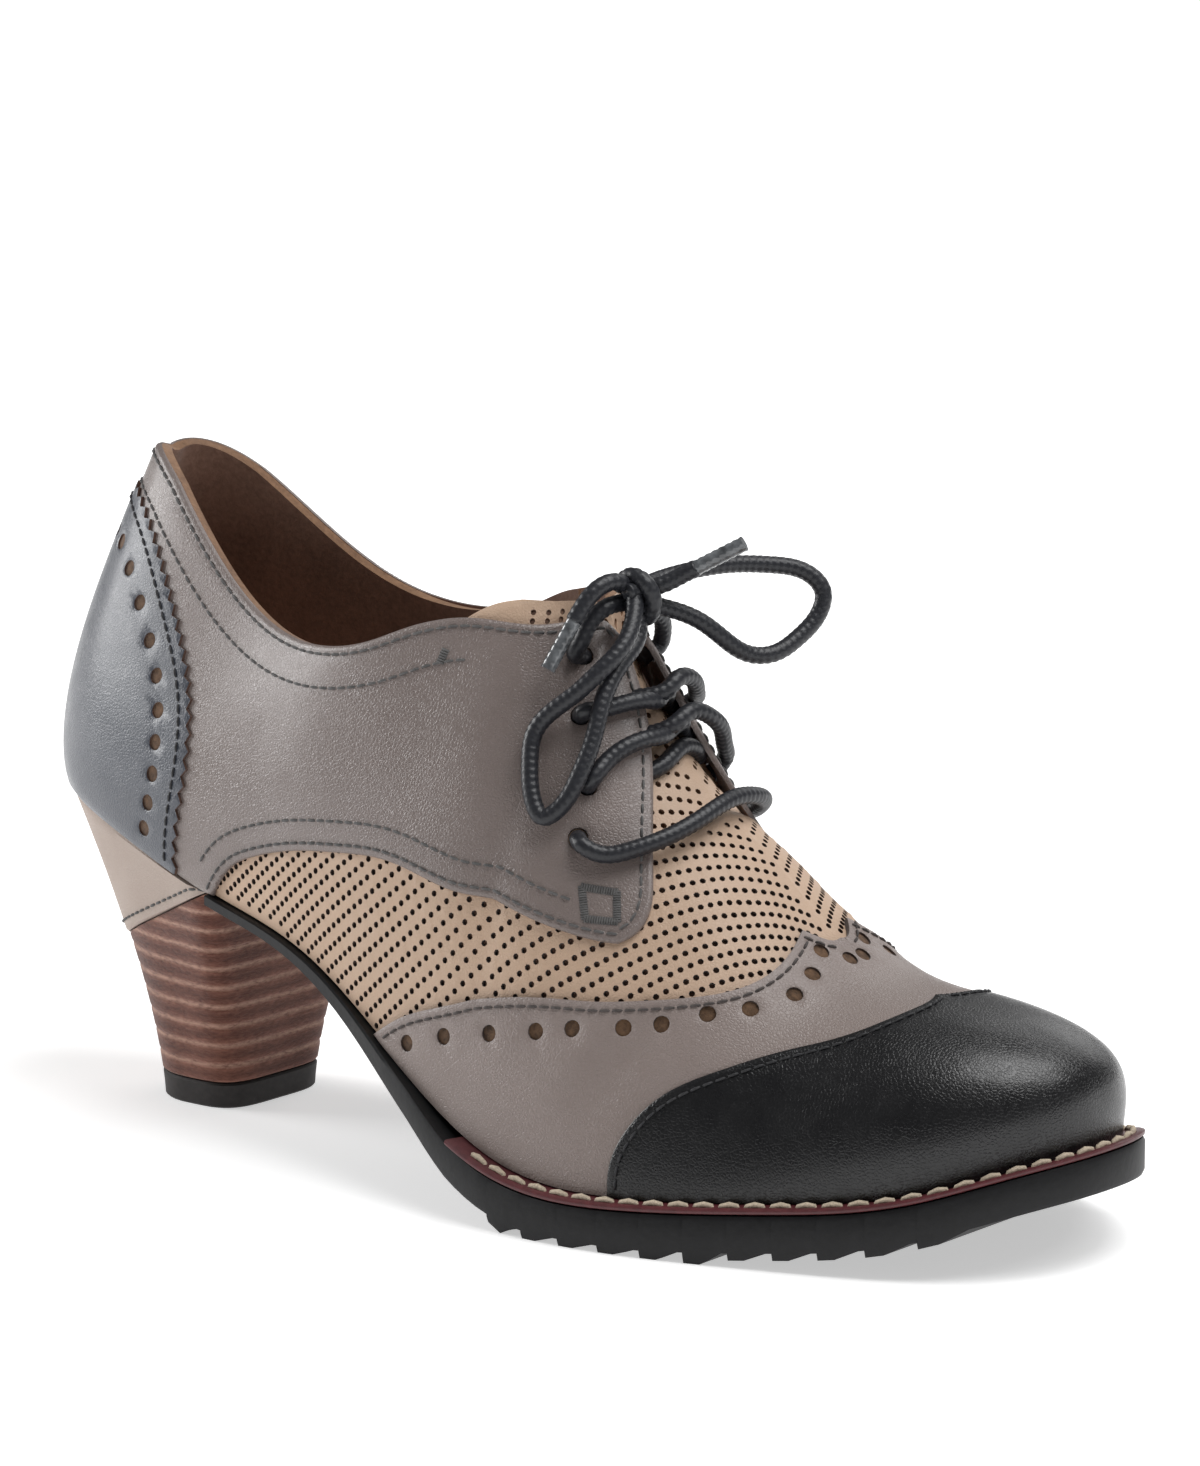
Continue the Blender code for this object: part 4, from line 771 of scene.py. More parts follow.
def zigzag(side, line):
    """A pinked edge along a line."""
    even = evenly(side, line, PINK_PITCH / 2)
    inner, outer = (moved_in(side, even, PINK_DEPTH / 2, left) for left in (True, False))
    mixed = np.where((np.arange(len(even)) % 2 == 0)[:, None], inner, outer)
    mixed[0], mixed[-1] = even[0], even[-1]
    return mixed


def border(start, end, stops=()):
    """A stretch of border, with more points at the given distances from its ends."""
    run = [tuple(map(float, point)) for point in along_border(start, end)]
    axis = 0 if start[1] == end[1] else 1
    along, up = spans(OUTER, np.array([start[0], end[0]]), np.array([start[1], end[1]]))
    spacing = np.linalg.norm((along, up)[axis], axis=1)
    sign = 1 if end[axis] > start[axis] else -1
    more = []
    for stop in stops:
        for point, toward, unit in ((start, sign, spacing[0]), (end, -sign, spacing[1])):
            value = list(point)
            value[axis] += toward * stop / unit
            more.append(tuple(map(float, value)))
    low, high = sorted((start[axis], end[axis]))
    run = [point for point in run if point in (tuple(start), tuple(end)) or all(
        abs(point[axis] - other[axis]) > 0.0008 for other in more)]
    run += [point for point in more if low < point[axis] < high]
    return sorted(set(run), key=lambda point: sign * point[axis])


def outline_of(*runs):
    """One closed outline from runs of ("edge" or "border", points), and which stretches are real edges."""
    points, real = [], []
    for kind, run in runs:
        for point in run:
            point = tuple(float(value) for value in point)
            if points and math.dist(point, points[-1]) < 1e-6:
                continue
            points.append(point)
            real.append(kind == "edge")
    if math.dist(points[0], points[-1]) < 1e-6:
        points.pop()
        real[0] = real.pop()
    return np.array(points), np.roll(np.array(real), -1)


def circle(side, u, w, radius, sides, start=0.0):
    """A round hole's outline at a place on the last."""
    along, up = (step[0] for step in spans(side, np.array([u]), np.array([w])))
    long = np.linalg.norm(along)
    lean = up.dot(along) / long
    tall = math.sqrt(max(up.dot(up) - lean * lean, 1e-12))
    turns = start + 2 * np.pi * np.arange(sides) / sides
    rise = radius * np.sin(turns) / tall
    return np.column_stack([u + (radius * np.cos(turns) - rise * lean) / long, w + rise])


GIRTH = {}


def flat_of(side, places):
    """Places on the last laid out flat, roughly in metres."""
    if side not in GIRTH:
        GIRTH[side] = run_along(feather_plan(side, LAST.stations))
    return np.column_stack([np.interp(places[:, 0], LAST.stations, GIRTH[side]), places[:, 1] * FLAT_HEIGHT])


def places_of(side, flat):
    return np.column_stack([np.interp(flat[:, 0], GIRTH[side], LAST.stations), flat[:, 1] / FLAT_HEIGHT])


def solid(name, points, faces, finishes, replaced=(), marks=None, sharp_degrees=50):
    """A closed mesh piece of the shoe. marks gives each face's finish."""
    mesh = bpy.data.meshes.new(name)
    corners = [tuple(map(float, point)) for point in points]
    mesh.from_pydata(corners, [], [tuple(map(int, face)) for face in faces])
    if marks is not None:
        mesh.polygons.foreach_set("material_index", np.asarray(marks, np.int32))
    shape = bmesh.new()
    shape.from_mesh(mesh)
    bmesh.ops.remove_doubles(shape, verts=shape.verts, dist=1e-6)
    bmesh.ops.recalc_face_normals(shape, faces=shape.faces)
    shape.to_mesh(mesh)
    shape.free()
    mesh.shade_smooth()
    mesh.set_sharp_from_angle(angle=math.radians(sharp_degrees))
    made = bpy.data.objects.new(name, mesh)
    bpy.context.scene.collection.objects.link(made)
    for finish in finishes:
        mesh.materials.append(finish)
    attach(made, "root")
    if replaced:
        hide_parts(*replaced)
    return made


def both(outline):
    """The same outline for each side."""
    return {side: outline for side in (OUTER, INNER)}


def panel(name, outlines, low, high, finishes, replaced=(), profile=FOLDED, grooves=(), holes=()):
    """A sheet of leather on the last between two depths, with shaped edges, sewn grooves and holes.

    outlines gives each side's outline_of. holes holds (side, station, height, radius, sides).
    """
    points, faces, marks = [], [], []
    drops = list(profile) + [(FAR_AWAY, 0.0)]
    rails = sorted({far for far, _ in profile if far > 0} | {
        groove + way * GROOVE_HALF for groove in grooves for way in (-1, 0, 1)})
    for side, (outline, real) in outlines.items():
        lines = LAST.at(side, outline[:, 0], outline[:, 1])
        after = np.roll(lines, -1, axis=0)
        starts, ends = lines[real], after[real]
        pieces = np.stack([starts, ends], 1).reshape(-1, 3)
        turned = np.roll(outline, -1, axis=0)
        ccw = (outline[:, 0] * turned[:, 1] - turned[:, 0] * outline[:, 1]).sum() > 0

        def edge_distance(places):
            if not len(pieces):
                return np.full(len(places), FAR_AWAY)
            spots = LAST.at(side, places[:, 0], places[:, 1])
            return near_line(spots, pieces)

        inner = []
        if len(pieces):
            firsts = np.flatnonzero(real)
            groups = np.split(firsts, np.flatnonzero(np.diff(firsts) > 1) + 1)
            for group in groups:
                line = np.concatenate([outline[group], outline[[(group[-1] + 1) % len(outline)]]])
                if len(line) < 3:
                    continue
                dense = evenly(side, line, EDGE_STEP)
                for rail in rails:
                    moved = moved_in(side, dense, rail, ccw)
                    kept = moved[inside(moved, outline)]
                    kept = kept[((kept > RAIL_LEAST) & (kept < RAIL_MOST)).all(1)]
                    if len(kept):
                        inner.append(kept[edge_distance(kept) > rail * RAIL_KEPT])
        rings = [(circle(side, u, w, radius, sides), np.array([u, w]), radius, sides)
                 for at_side, u, w, radius, sides in holes if at_side == side]
        centres = np.array([centre for _, centre, _, _ in rings]).reshape(-1, 2)
        radii = np.array([radius for _, _, radius, _ in rings])
        halos = [circle(side, *centre, radius + HALO_REACH, sides, np.pi / sides)
                 for _, centre, radius, sides in rings if sides >= HALO_SIDES]
        grid = np.array([(u, w) for u in STATIONS for w in HEIGHTS])
        grid = grid[inside(grid, outline)]
        reach = (max(rails) if rails else 0) + RAIL_CLEAR
        grid = grid[edge_distance(grid) > reach] if len(pieces) else grid
        hidden = np.stack([lines[~real], after[~real]], 1).reshape(-1, 3)
        if len(hidden):
            flush = np.array([is_seam(p, p) for p in grid])
            grid = grid[~flush]
            grid = grid[near_line(LAST.at(side, grid[:, 0], grid[:, 1]), hidden) > HIDDEN_CLEAR]
        loose = np.concatenate([grid, *inner]) if inner else grid
        if len(rings):
            spots = LAST.at(side, loose[:, 0], loose[:, 1])
            middles = LAST.at(side, centres[:, 0], centres[:, 1])
            gap = np.full(len(spots), FAR_AWAY)
            for middle, radius in zip(middles, radii):
                gap = np.minimum(gap, np.linalg.norm(spots - middle, axis=1) - radius)
            loose = loose[gap > HOLE_CLEAR]
        ring_points = [ring for ring, _, _, _ in rings]
        places = np.concatenate([outline, *ring_points, *halos, loose])
        ring_of = np.full(len(places), -1)
        edges = [(k, (k + 1) % len(outline)) for k in range(len(outline))]
        start = len(outline)
        for number, ring in enumerate(ring_points):
            ring_of[start:start + len(ring)] = number
            edges += [(start + k, start + (k + 1) % len(ring)) for k in range(len(ring))]
            start += len(ring)
        flat = flat_of(side, places)
        found, _, triangles, origin, _, _ = delaunay_2d_cdt(
            [Vector(map(float, spot)) for spot in flat], edges, [], 0, 1e-9)
        back = places_of(side, np.array([tuple(spot) for spot in found]))
        first = np.array([min(group) if group else -1 for group in origin])
        spots = np.where((first >= 0)[:, None], places[first], back)
        owner = np.where(first >= 0, ring_of[first], -1)
        triangles = np.array(triangles)
        middles = spots[triangles].mean(1)
        keep = inside(middles, outline)
        owners = owner[triangles]
        keep &= (owners[:, 0] < 0) | (owners != owners[:, :1]).any(1)
        triangles = triangles[keep]
        distance = edge_distance(spots)
        drop = np.interp(distance, [far for far, _ in drops], [value for _, value in drops])
        for groove in grooves:
            drop -= GROOVE_DEPTH * np.clip(1 - np.abs(distance - groove) / GROOVE_HALF, 0, 1)
        drop[owner >= 0] -= HOLE_DROP
        base, count = len(points), len(spots)
        for depth, extra in ((low, 0), (high, drop)):
            deep = depth(spots[:, 0], spots[:, 1]) if callable(depth) else np.full(count, depth)
            points += list(LAST.at(side, spots[:, 0], spots[:, 1], deep + extra))
        used = set()
        for a, b, c in triangles.tolist():
            faces += [(base + a, base + b, base + c), (base + count + c, base + count + b, base + count + a)]
            marks += [2, 0]
            used |= {(a, b), (b, c), (c, a)}
        for p, q in used:
            if (q, p) not in used and not is_seam(spots[p], spots[q]):
                faces.append((base + p, base + q, base + count + q, base + count + p))
                marks.append(1)
    marks = np.minimum(marks, len(finishes) - 1)
    return solid(name, points, faces, finishes, replaced, marks)


def capsules(name, rows, finish):
    """Stitches, each (middle, way, out, length, radius), as one piece."""
    middles, ways, outs, lengths, radii = (np.array([row[k] for row in rows]) for k in range(5))
    cross = np.cross(outs, ways)
    cross /= np.linalg.norm(cross, axis=1, keepdims=True)
    sides, count, last = STITCH_SIDES, len(rows), len(STITCH_RINGS) - 1
    turns = 2 * np.pi * np.arange(sides) / sides
    rings = []
    for along, thick, lift in STITCH_RINGS:
        centre = middles + ways * (along * lengths)[:, None] + outs * (lift * radii)[:, None]
        aside = cross[:, None] * np.cos(turns)[None, :, None]
        round_about = aside + outs[:, None] * np.sin(turns)[None, :, None]
        rings.append(centre[:, None] + round_about * (thick * radii)[:, None, None])
    points = np.stack(rings, 1).reshape(-1, 3)
    faces = []
    for k in range(count):
        base = k * (last + 1) * sides
        for ring in range(last):
            for side in range(sides):
                a, b = base + ring * sides + side, base + ring * sides + (side + 1) % sides
                faces.append((a, b, b + sides, a + sides))
        faces.append(tuple(base + side for side in range(sides))[::-1])
        faces.append(tuple(base + last * sides + side for side in range(sides)))
    return solid(name, points, faces, [finish], sharp_degrees=80)


def stitch_at(line, run, middle, length):
    """The spot on a line where a stitch of this length lies, and its unit way."""
    spot, before, after = (np.array([np.interp(middle + step, run, line[:, k]) for k in range(3)])
                           for step in (0, -length / 2, length / 2))
    return spot, (after - before) / np.linalg.norm(after - before)


def stitches(side, line, distance, depth=0.0, start=0.0, end=1.0):
    """A row of stitches beside a line on the last, between two shares of its length."""
    length, pitch, radius = FINE_THREAD
    moved = moved_in(side, evenly(side, line, EDGE_STEP), distance, False)
    moved = moved[(moved[:, 0] > 0) & (moved[:, 0] < 1) & (moved[:, 1] > STITCH_LEAST) & (moved[:, 1] < 1)]
    fine = evenly(side, moved, STITCH_STEP)
    fine = fine[int(start * len(fine)):max(int(end * len(fine)), 2)]
    spots = LAST.at(side, fine[:, 0], fine[:, 1], depth)
    outs = LAST.at(side, fine[:, 0], fine[:, 1], depth + 0.001) - spots
    run = run_along(spots)
    rows = []
    for k in range(int(run[-1] / pitch)):
        middle = (k + 0.5) * pitch
        spot, way = stitch_at(spots, run, middle, length)
        out = np.array([np.interp(middle, run, outs[:, i]) for i in range(3)])
        rows.append((spot, way, out / np.linalg.norm(out), length, radius))
    return rows


def bar_tack(side, start, end, width):
    """Close stitches laid across a short line."""
    line = evenly(side, [start, end], TACK_PITCH)
    spots = LAST.at(side, line[:, 0], line[:, 1])
    outs = LAST.at(side, line[:, 0], line[:, 1], 0.001) - spots
    way = spots[-1] - spots[0]
    rows = []
    for spot, out in zip(spots, outs):
        out = out / np.linalg.norm(out)
        across = np.cross(out, way)
        rows.append((spot, across / np.linalg.norm(across), out, width, TACK_RADIUS))
    return rows


def braided(name, route, replaced=(), radius=LACE_RADIUS):
    """A round braided lace along a route. It gives back the piece and the line it follows."""
    sides = BRAID_SIDES
    line = smooth_run(route, BRAID_STEP)
    ways = np.gradient(line, axis=0)
    ways /= np.linalg.norm(ways, axis=1, keepdims=True)
    frames = [np.cross(ways[0], (0.3, 0.5, 0.8))]
    for way in ways:
        moved = frames[-1] - way * frames[-1].dot(way)
        frames.append(moved / np.linalg.norm(moved))
    first = np.array(frames[1:])
    second = np.cross(ways, first)
    run = run_along(line)
    turns = 2 * np.pi * np.arange(sides) / sides
    half = BRAID_STRANDS / 2
    twist = np.pi * run[:, None] / BRAID_PITCH
    right, left = (np.abs(np.sin(half * turns[None] + sign * twist)) for sign in (1, -1))
    relief = np.where(np.sin(BRAID_STRANDS * turns[None]) > 0, right, left)
    thick = radius - BRAID_HEIGHT * (1 - relief)
    points = line[:, None] + first[:, None] * (np.cos(turns)[None] * thick)[..., None] + second[:, None] * (
        np.sin(turns)[None] * thick)[..., None]
    faces = []
    for i in range(len(line) - 1):
        for j in range(sides):
            a, b = i * sides + j, i * sides + (j + 1) % sides
            faces.append((a, b, b + sides, a + sides))
    last = (len(line) - 1) * sides
    faces += [tuple(range(sides))[::-1], tuple(last + j for j in range(sides))]
    made = solid(name, points.reshape(-1, 3), faces, [FINISH["lace"]], replaced, sharp_degrees=80)
    return made, line


class Value:
    """A socket in a finish. Sums on it add Math nodes."""

    def __init__(self, finish, socket):
        self.finish, self.socket = finish, socket

    def math(self, operation, first, second):
        return self.finish.node("ShaderNodeMath", {"operation": operation}, {0: first, 1: second})

    def __add__(self, other):
        return self.math("ADD", self, other)

    def __sub__(self, other):
        return self.math("SUBTRACT", self, other)

    def __rsub__(self, other):
        return self.math("SUBTRACT", other, self)

    def __mul__(self, other):
        return self.math("MULTIPLY", self, other)

    __radd__, __rmul__ = __add__, __mul__


class Finish:
    """A material in the making: its node tree, its shader and the place on the shoe."""

    def __init__(self, name, roughness=0.5, coat=0.0, sheen=0.0, specular=0.5):
        self.material = bpy.data.materials.new(name)
        self.material.use_nodes = True
        self.tree = self.material.node_tree
        self.shader = self.tree.nodes["Principled BSDF"]
        for socket, value in (("Roughness", roughness), ("Coat Weight", coat), ("Coat Roughness", 0.25),
                              ("Sheen Weight", sheen), ("Specular IOR Level", specular)):
            self.shader.inputs[socket].default_value = value
        self.place = self.node("ShaderNodeTexCoord", out="Object")

    def node(self, kind, settings=None, sockets=None, out=0):
        made = self.tree.nodes.new(kind)
        for key, value in (settings or {}).items():
            setattr(made, key, value)
        for key, value in (sockets or {}).items():
            if isinstance(value, Value):
                self.tree.links.new(value.socket, made.inputs[key])
            else:
                made.inputs[key].default_value = value
        return Value(self, made.outputs[out])

    def noise(self, scale, detail=2.0, rough=0.5, stretch=(1, 1, 1)):
        place = self.place
        if stretch != (1, 1, 1):
            place = self.node("ShaderNodeMapping", {}, {"Vector": place, "Scale": stretch})
        inputs = {"Vector": place, "Scale": scale, "Detail": detail, "Roughness": rough}
        return self.node("ShaderNodeTexNoise", {}, inputs)

    def cells(self, scale):
        inputs = {"Vector": self.place, "Scale": scale}
        return self.node("ShaderNodeTexVoronoi", {"feature": "DISTANCE_TO_EDGE"}, inputs)

    def between(self, value, low, high, to_low=0.0, to_high=1.0):
        return self.node("ShaderNodeMapRange", {}, {"Value": value, "From Min": low, "From Max": high,
                                                    "To Min": to_low, "To Max": to_high})

    def mix(self, share, first, second):
        first, second = ((*colour, 1) if isinstance(colour, tuple) else colour for colour in (first, second))
        return self.node("ShaderNodeMix", {"data_type": "RGBA"}, {0: share, 6: first, 7: second}, 2)

    def join(self, socket, value):
        if isinstance(value, Value):
            self.tree.links.new(value.socket, self.shader.inputs[socket])
        else:
            self.shader.inputs[socket].default_value = (*value, 1) if isinstance(value, tuple) else value
        return self

    def bump(self, height, depth):
        return self.join("Normal", self.node("ShaderNodeBump", {}, {"Height": height, "Distance": depth,
                                                                    "Strength": 1.0}))


def grained(name, colour, dark, roughness, coat=0.0, grain=0.00006, patch=0.25, sheen=0.0, specular=0.4):
    """A smooth leather: fine grain, pores, and patches of a darker tone."""
    made = Finish(name, roughness, coat, sheen, specular)
    pores = made.cells(1500)
    fine = made.noise(2400, 2)
    broad = made.noise(38, 3, 0.55)
    tone = made.between(broad, 0.35, 0.68, 0.0, patch) + made.between(pores, 0.0, 0.12, 0.16, 0.0)
    made.join("Base Color", made.mix(tone, colour, dark))
    made.join("Roughness", made.between(made.noise(160, 3), 0.3, 0.7, roughness - 0.05, roughness + 0.08))
    height = made.between(pores, 0.0, 0.25) * 0.6 + fine * 0.5
    made.bump(height, grain)
    return made.material


def napped(name, colour, dark, roughness=0.95, grain=0.00012, scale=900, sheen=0.3):
    """Suede, or a leather's raw edge."""
    made = Finish(name, roughness, 0.0, sheen, 0.15)
    fine = made.noise(scale, 4, 0.65)
    broad = made.noise(60, 3, 0.6)
    made.join("Base Color", made.mix(made.between(fine * 0.5 + broad * 0.5, 0.35, 0.65), dark, colour))
    made.bump(fine, grain)
    return made.material


def plain(name, colour, roughness, coat=0.0, grain=0.0, scale=700, specular=0.4):
    made = Finish(name, roughness, coat, 0.0, specular)
    fine = made.noise(scale, 3)
    dark = tuple(value * 0.72 for value in colour)
    made.join("Base Color", made.mix(made.between(fine, 0.35, 0.65), dark, colour))
    if grain:
        made.bump(fine, grain)
    return made.material


def layered(name):
    """The stacked heel: reddish brown layers with a fine nap, a painted highlight as a pale line at each
    join, and painted shade darkening each layer towards its middle.
    """
    made = Finish(name, 0.85, 0.0, 0.25, 0.2)
    height = made.node("ShaderNodeSeparateXYZ", {}, {0: made.place}, 2)
    waver = made.noise(90, 2) * 0.0005
    share = made.place.math("PINGPONG", (height + waver) - HEEL_TIP_HEIGHT, LIFT_PITCH / 2)
    line = made.between(share, 0.0, 0.00075, 1.0, 0.0)
    # Painted shade: each layer grows darker away from its joins, darkest halfway between them
    shade = made.between(share, 0.0006, LIFT_PITCH / 2, 0.0, 0.55)
    fine = made.noise(700, 4, 0.65, (1, 1, 3))
    broad = made.noise(45, 3, 0.6)
    body = made.mix(made.between(fine * 0.55 + broad * 0.45, 0.36, 0.64), (0.085, 0.030, 0.021),
                    (0.27, 0.115, 0.080))
    body = made.mix(shade, body, (0.050, 0.018, 0.013))
    # Painted highlight: the pale line along each join of the layers
    pale = line * made.between(fine, 0.3, 0.6, 0.25, 0.75)
    made.join("Base Color", made.mix(pale, body, (0.52, 0.33, 0.25)))
    made.bump(fine, 0.00018)
    return made.material


def sheer(name):
    """The clear film round a lace's end, over the black braid."""
    made = Finish(name, 0.12, 0.6, 0.0, 0.6)
    worn = made.between(made.noise(500, 2), 0.3, 0.7)
    made.join("Base Color", made.mix(worn, (0.045, 0.048, 0.052), (0.16, 0.17, 0.18)))
    return made.material


def make_finishes():
    return {
        # The quarters' taupe is the wing's leather made about a quarter darker: painted shade over the
        # quarters and flaps.
        "taupe": grained("taupe_grain_painted_shade", (0.212, 0.173, 0.160), (0.135, 0.104, 0.092), 0.34, 0.4, 0.00010),
        "wing": grained("taupe_wing", (0.275, 0.225, 0.207), (0.175, 0.136, 0.119), 0.38, 0.12, 0.00009),
        "cover": grained("taupe_cover", (0.42, 0.345, 0.30), (0.32, 0.25, 0.215), 0.55, 0.0, specular=0.25),
        "beige": grained("beige_grain", (0.56, 0.40, 0.29), (0.44, 0.29, 0.19), 0.50, 0.05),
        "black": grained("black_grain", (0.007, 0.007, 0.008), (0.004, 0.004, 0.005), 0.29, 0.3, 0.00007, 0.2,
                         0.0, 0.4),
        "navy": grained("navy_grain", (0.040, 0.047, 0.066), (0.020, 0.024, 0.036), 0.38, 0.4, 0.00007, 0.2,
                        0.0, 0.6),
        "lining": napped("brown_suede", (0.38, 0.225, 0.165), (0.20, 0.115, 0.082), sheen=0.4),
        "tan_edge": napped("tan_edge", (0.30, 0.17, 0.095), (0.15, 0.08, 0.045), 0.9),
        "dark_edge": napped("dark_edge", (0.085, 0.055, 0.042), (0.045, 0.028, 0.022), 0.85),
        "brown_edge": napped("brown_edge", (0.12, 0.062, 0.042), (0.055, 0.028, 0.02), 0.85),
        "backing": napped("hole_backing", (0.20, 0.115, 0.065), (0.030, 0.018, 0.012)),
        "insole": plain("insole_leather", (0.33, 0.22, 0.15), 0.6, 0.0, 0.00004),
        "rubber": plain("black_rubber", (0.007, 0.007, 0.008), 0.5, 0.0, 0.00006, specular=0.3),
        "tip": plain("tip_rubber", (0.026, 0.022, 0.021), 0.65, 0.0, 0.00008),
        "welt": plain("burgundy_welt", (0.105, 0.022, 0.026), 0.45, 0.15, 0.00005),
        "stack": layered("stacked_leather"),
        "lace": plain("waxed_lace", (0.020, 0.021, 0.026), 0.42, 0.1, 0.00003, 2200),
        "aglet": sheer("clear_aglet"),
        "taupe_thread": plain("taupe_thread", (0.118, 0.115, 0.113), 0.7),
        "black_thread": plain("black_thread", (0.03, 0.03, 0.033), 0.6),
        "dark_thread": plain("dark_thread", (0.085, 0.072, 0.068), 0.7),
        "cream_thread": plain("cream_thread", (0.60, 0.50, 0.38), 0.75, 0.0, 0.00008, 2500),
    }


def vamp_outline():
    return outline_of(
        ("border", evenly(OUTER, [(VAMP_BACK, 0.0), VAMP_TOP[0]], HIDDEN_STEP)),
        ("edge", through(VAMP_TOP, EDGE_STEP)),
        ("border", border(VAMP_TOP[-1], (VAMP_FRONT, 1.0), (0.0002, 0.0005))),
        ("border", evenly(OUTER, [(VAMP_FRONT, 1.0), (VAMP_FRONT, 0.0)], HIDDEN_STEP)),
        ("border", border((VAMP_FRONT, 0.0), (VAMP_BACK, 0.0))),
    )


def perforations(side, outline, keep_from):
    """Staggered small holes inside an outline, clear of the given lines."""
    outline = np.array(outline)
    low, high = outline.min(0), outline.max(0)
    found, row = [], 0
    w = max(low[1], PERFORATION_LEAST)
    while w < min(high[1], PERFORATION_MOST):
        us = np.linspace(low[0], high[0], ROW_PLACES)
        spots = LAST.at(side, us, np.full(ROW_PLACES, w))
        run = run_along(spots)
        middle = np.interp(PERFORATION_MIDDLE, us, run)
        first = (middle + (row % 2) * PERFORATION_PITCH / 2) % PERFORATION_PITCH
        for along in np.arange(first, run[-1], PERFORATION_PITCH):
            found.append((float(np.interp(along, run, us)), float(w)))
        _, up = spans(side, np.array([PERFORATION_MIDDLE]), np.array([w]))
        w += PERFORATION_ROW / float(np.linalg.norm(up))
        row += 1
    found = np.array(found)
    found = found[inside(found, outline)]
    spots = LAST.at(side, found[:, 0], found[:, 1])
    for line, clear in keep_from:
        line = np.array(line)
        found_far = near_line(spots, LAST.at(side, line[:, 0], line[:, 1])) > clear
        found, spots = found[found_far], spots[found_far]
    return [(side, float(u), float(w), PERFORATION_RADIUS, PERFORATION_SIDES) for u, w in found]


def add_vamp():
    outline = vamp_outline()
    shown = ([(u - 0.004, w + 0.02) for u, w in through(FLAP_BOTTOM[::-1], 0.004)]
             + VAMP_SHOWN
             + [(u + 0.006, w) for u, w in through(WING_EDGE[::-1], 0.004)])
    ridge = [(u, 1.0) for u in np.linspace(0.60, 0.80, RIDGE_PLACES)]
    holes = []
    for side in (OUTER, INNER):
        holes += perforations(side, shown, [(through(VAMP_TOP, 0.002), VAMP_TOP_CLEAR), (ridge, RIDGE_CLEAR)])
    panel("vamp_leather", both(outline), VAMP_LOW, VAMP_HIGH,
          [FINISH["beige"], FINISH["dark_edge"], FINISH["dark_edge"]], ["upper"], CUT,
          (), holes)


def lining_depth(u, w):
    """A depth that comes out to the quarters at the back, where no vamp lies between."""
    share = np.clip((u - LINING_TURN_START) / LINING_TURN_RUN, 0, 1)
    return LINING_BACK + (LINING_HIGH - LINING_BACK) * share


def add_lining():
    outline = outline_of(
        ("border", evenly(OUTER, [(0.0, 0.0), (0.0, 1.0)], HIDDEN_STEP)),
        ("border", border((0.0, 1.0), (COLLAR[0][0], 1.0))),
        ("edge", through(COLLAR[:5], EDGE_STEP)),
        ("edge", through(SLOT_EDGE, EDGE_STEP)),
        ("border", border(SLOT_EDGE[-1], (1.0, 1.0))),
        ("border", evenly(OUTER, [(1.0, 1.0), (1.0, 0.0)], HIDDEN_STEP)),
        ("border", border((1.0, 0.0), (0.0, 0.0))),
    )
    panel("upper_lining", both(outline), LINING_LOW, lining_depth,
          [FINISH["lining"], FINISH["tan_edge"], FINISH["lining"]], ["upper"], CUT)


def tongue_face(u, w):
    along = np.clip((u - DIP_STATIONS[0]) / (DIP_STATIONS[1] - DIP_STATIONS[0]), 0, 1)
    up = np.clip((w - DIP_HEIGHTS[0]) / (DIP_HEIGHTS[1] - DIP_HEIGHTS[0]), 0, 1)
    return TONGUE_HIGH - TONGUE_DIP * np.sin(np.pi * along) ** 2 * up * up * (3 - 2 * up)


def add_tongue():
    outline = outline_of(
        ("edge", through(TONGUE_TOP, EDGE_STEP)),
        ("border", border(TONGUE_TOP[-1], (RIDGE_START, 1.0))),
        ("border", border((RIDGE_START, 1.0), TONGUE_EDGE[-1])),
        ("border", through(TONGUE_EDGE[::-1], EDGE_STEP)),
    )
    ridge = [(u, 1.0) for u in np.linspace(RIDGE_START, 0.64, RIDGE_PLACES)]
    holes = []
    for side in (OUTER, INNER):
        clear = [(through(TONGUE_TOP, 0.002), TONGUE_TOP_CLEAR), (ridge, RIDGE_CLEAR)]
        holes += perforations(side, TONGUE_SHOWN, clear)
    panel("tongue_leather", both(outline), lambda u, w: tongue_face(u, w) - TONGUE_THICKNESS, tongue_face,
          [FINISH["beige"], FINISH["tan_edge"], FINISH["lining"]], ["tongue"], CUT,
          (), holes)


def add_quarters():
    back = [(max(u - 0.010, 0.0), w - 0.012) for u, w in COUNTER_EDGE]
    outline = outline_of(
        ("border", evenly(OUTER, [(0.0, back[0][1]), (0.0, 1.0)], 0.002)),
        ("edge", border((0.0, 1.0), (COLLAR[0][0], 1.0))),
        ("edge", through(COLLAR, EDGE_STEP)),
        ("edge", [COLLAR[-1], FLAP_CORNER, FLAP_FRONT[0]]),
        ("edge", through(FLAP_FRONT, EDGE_STEP)),
        ("edge", through(FLAP_BOTTOM, EDGE_STEP)),
        ("border", border(FLAP_BOTTOM[-1], (back[-1][0], 0.0))),
        ("border", through(back[::-1], HIDDEN_STEP)),
    )
    for side, name in SIDES:
        holes = [(side, u, w, EYELET_RADIUS, EYELET_SIDES) for u, w in EYELETS]
        # The quarters' finish is the wing's leather made darker: painted shade.
        panel("quarter_leather_" + name, {side: outline}, OVERLAY_LOW, 0.0,
              [FINISH["taupe"], FINISH["taupe"], FINISH["lining"]], ["quarter_" + name],
              FOLDED, (EDGE_ROW,), holes)


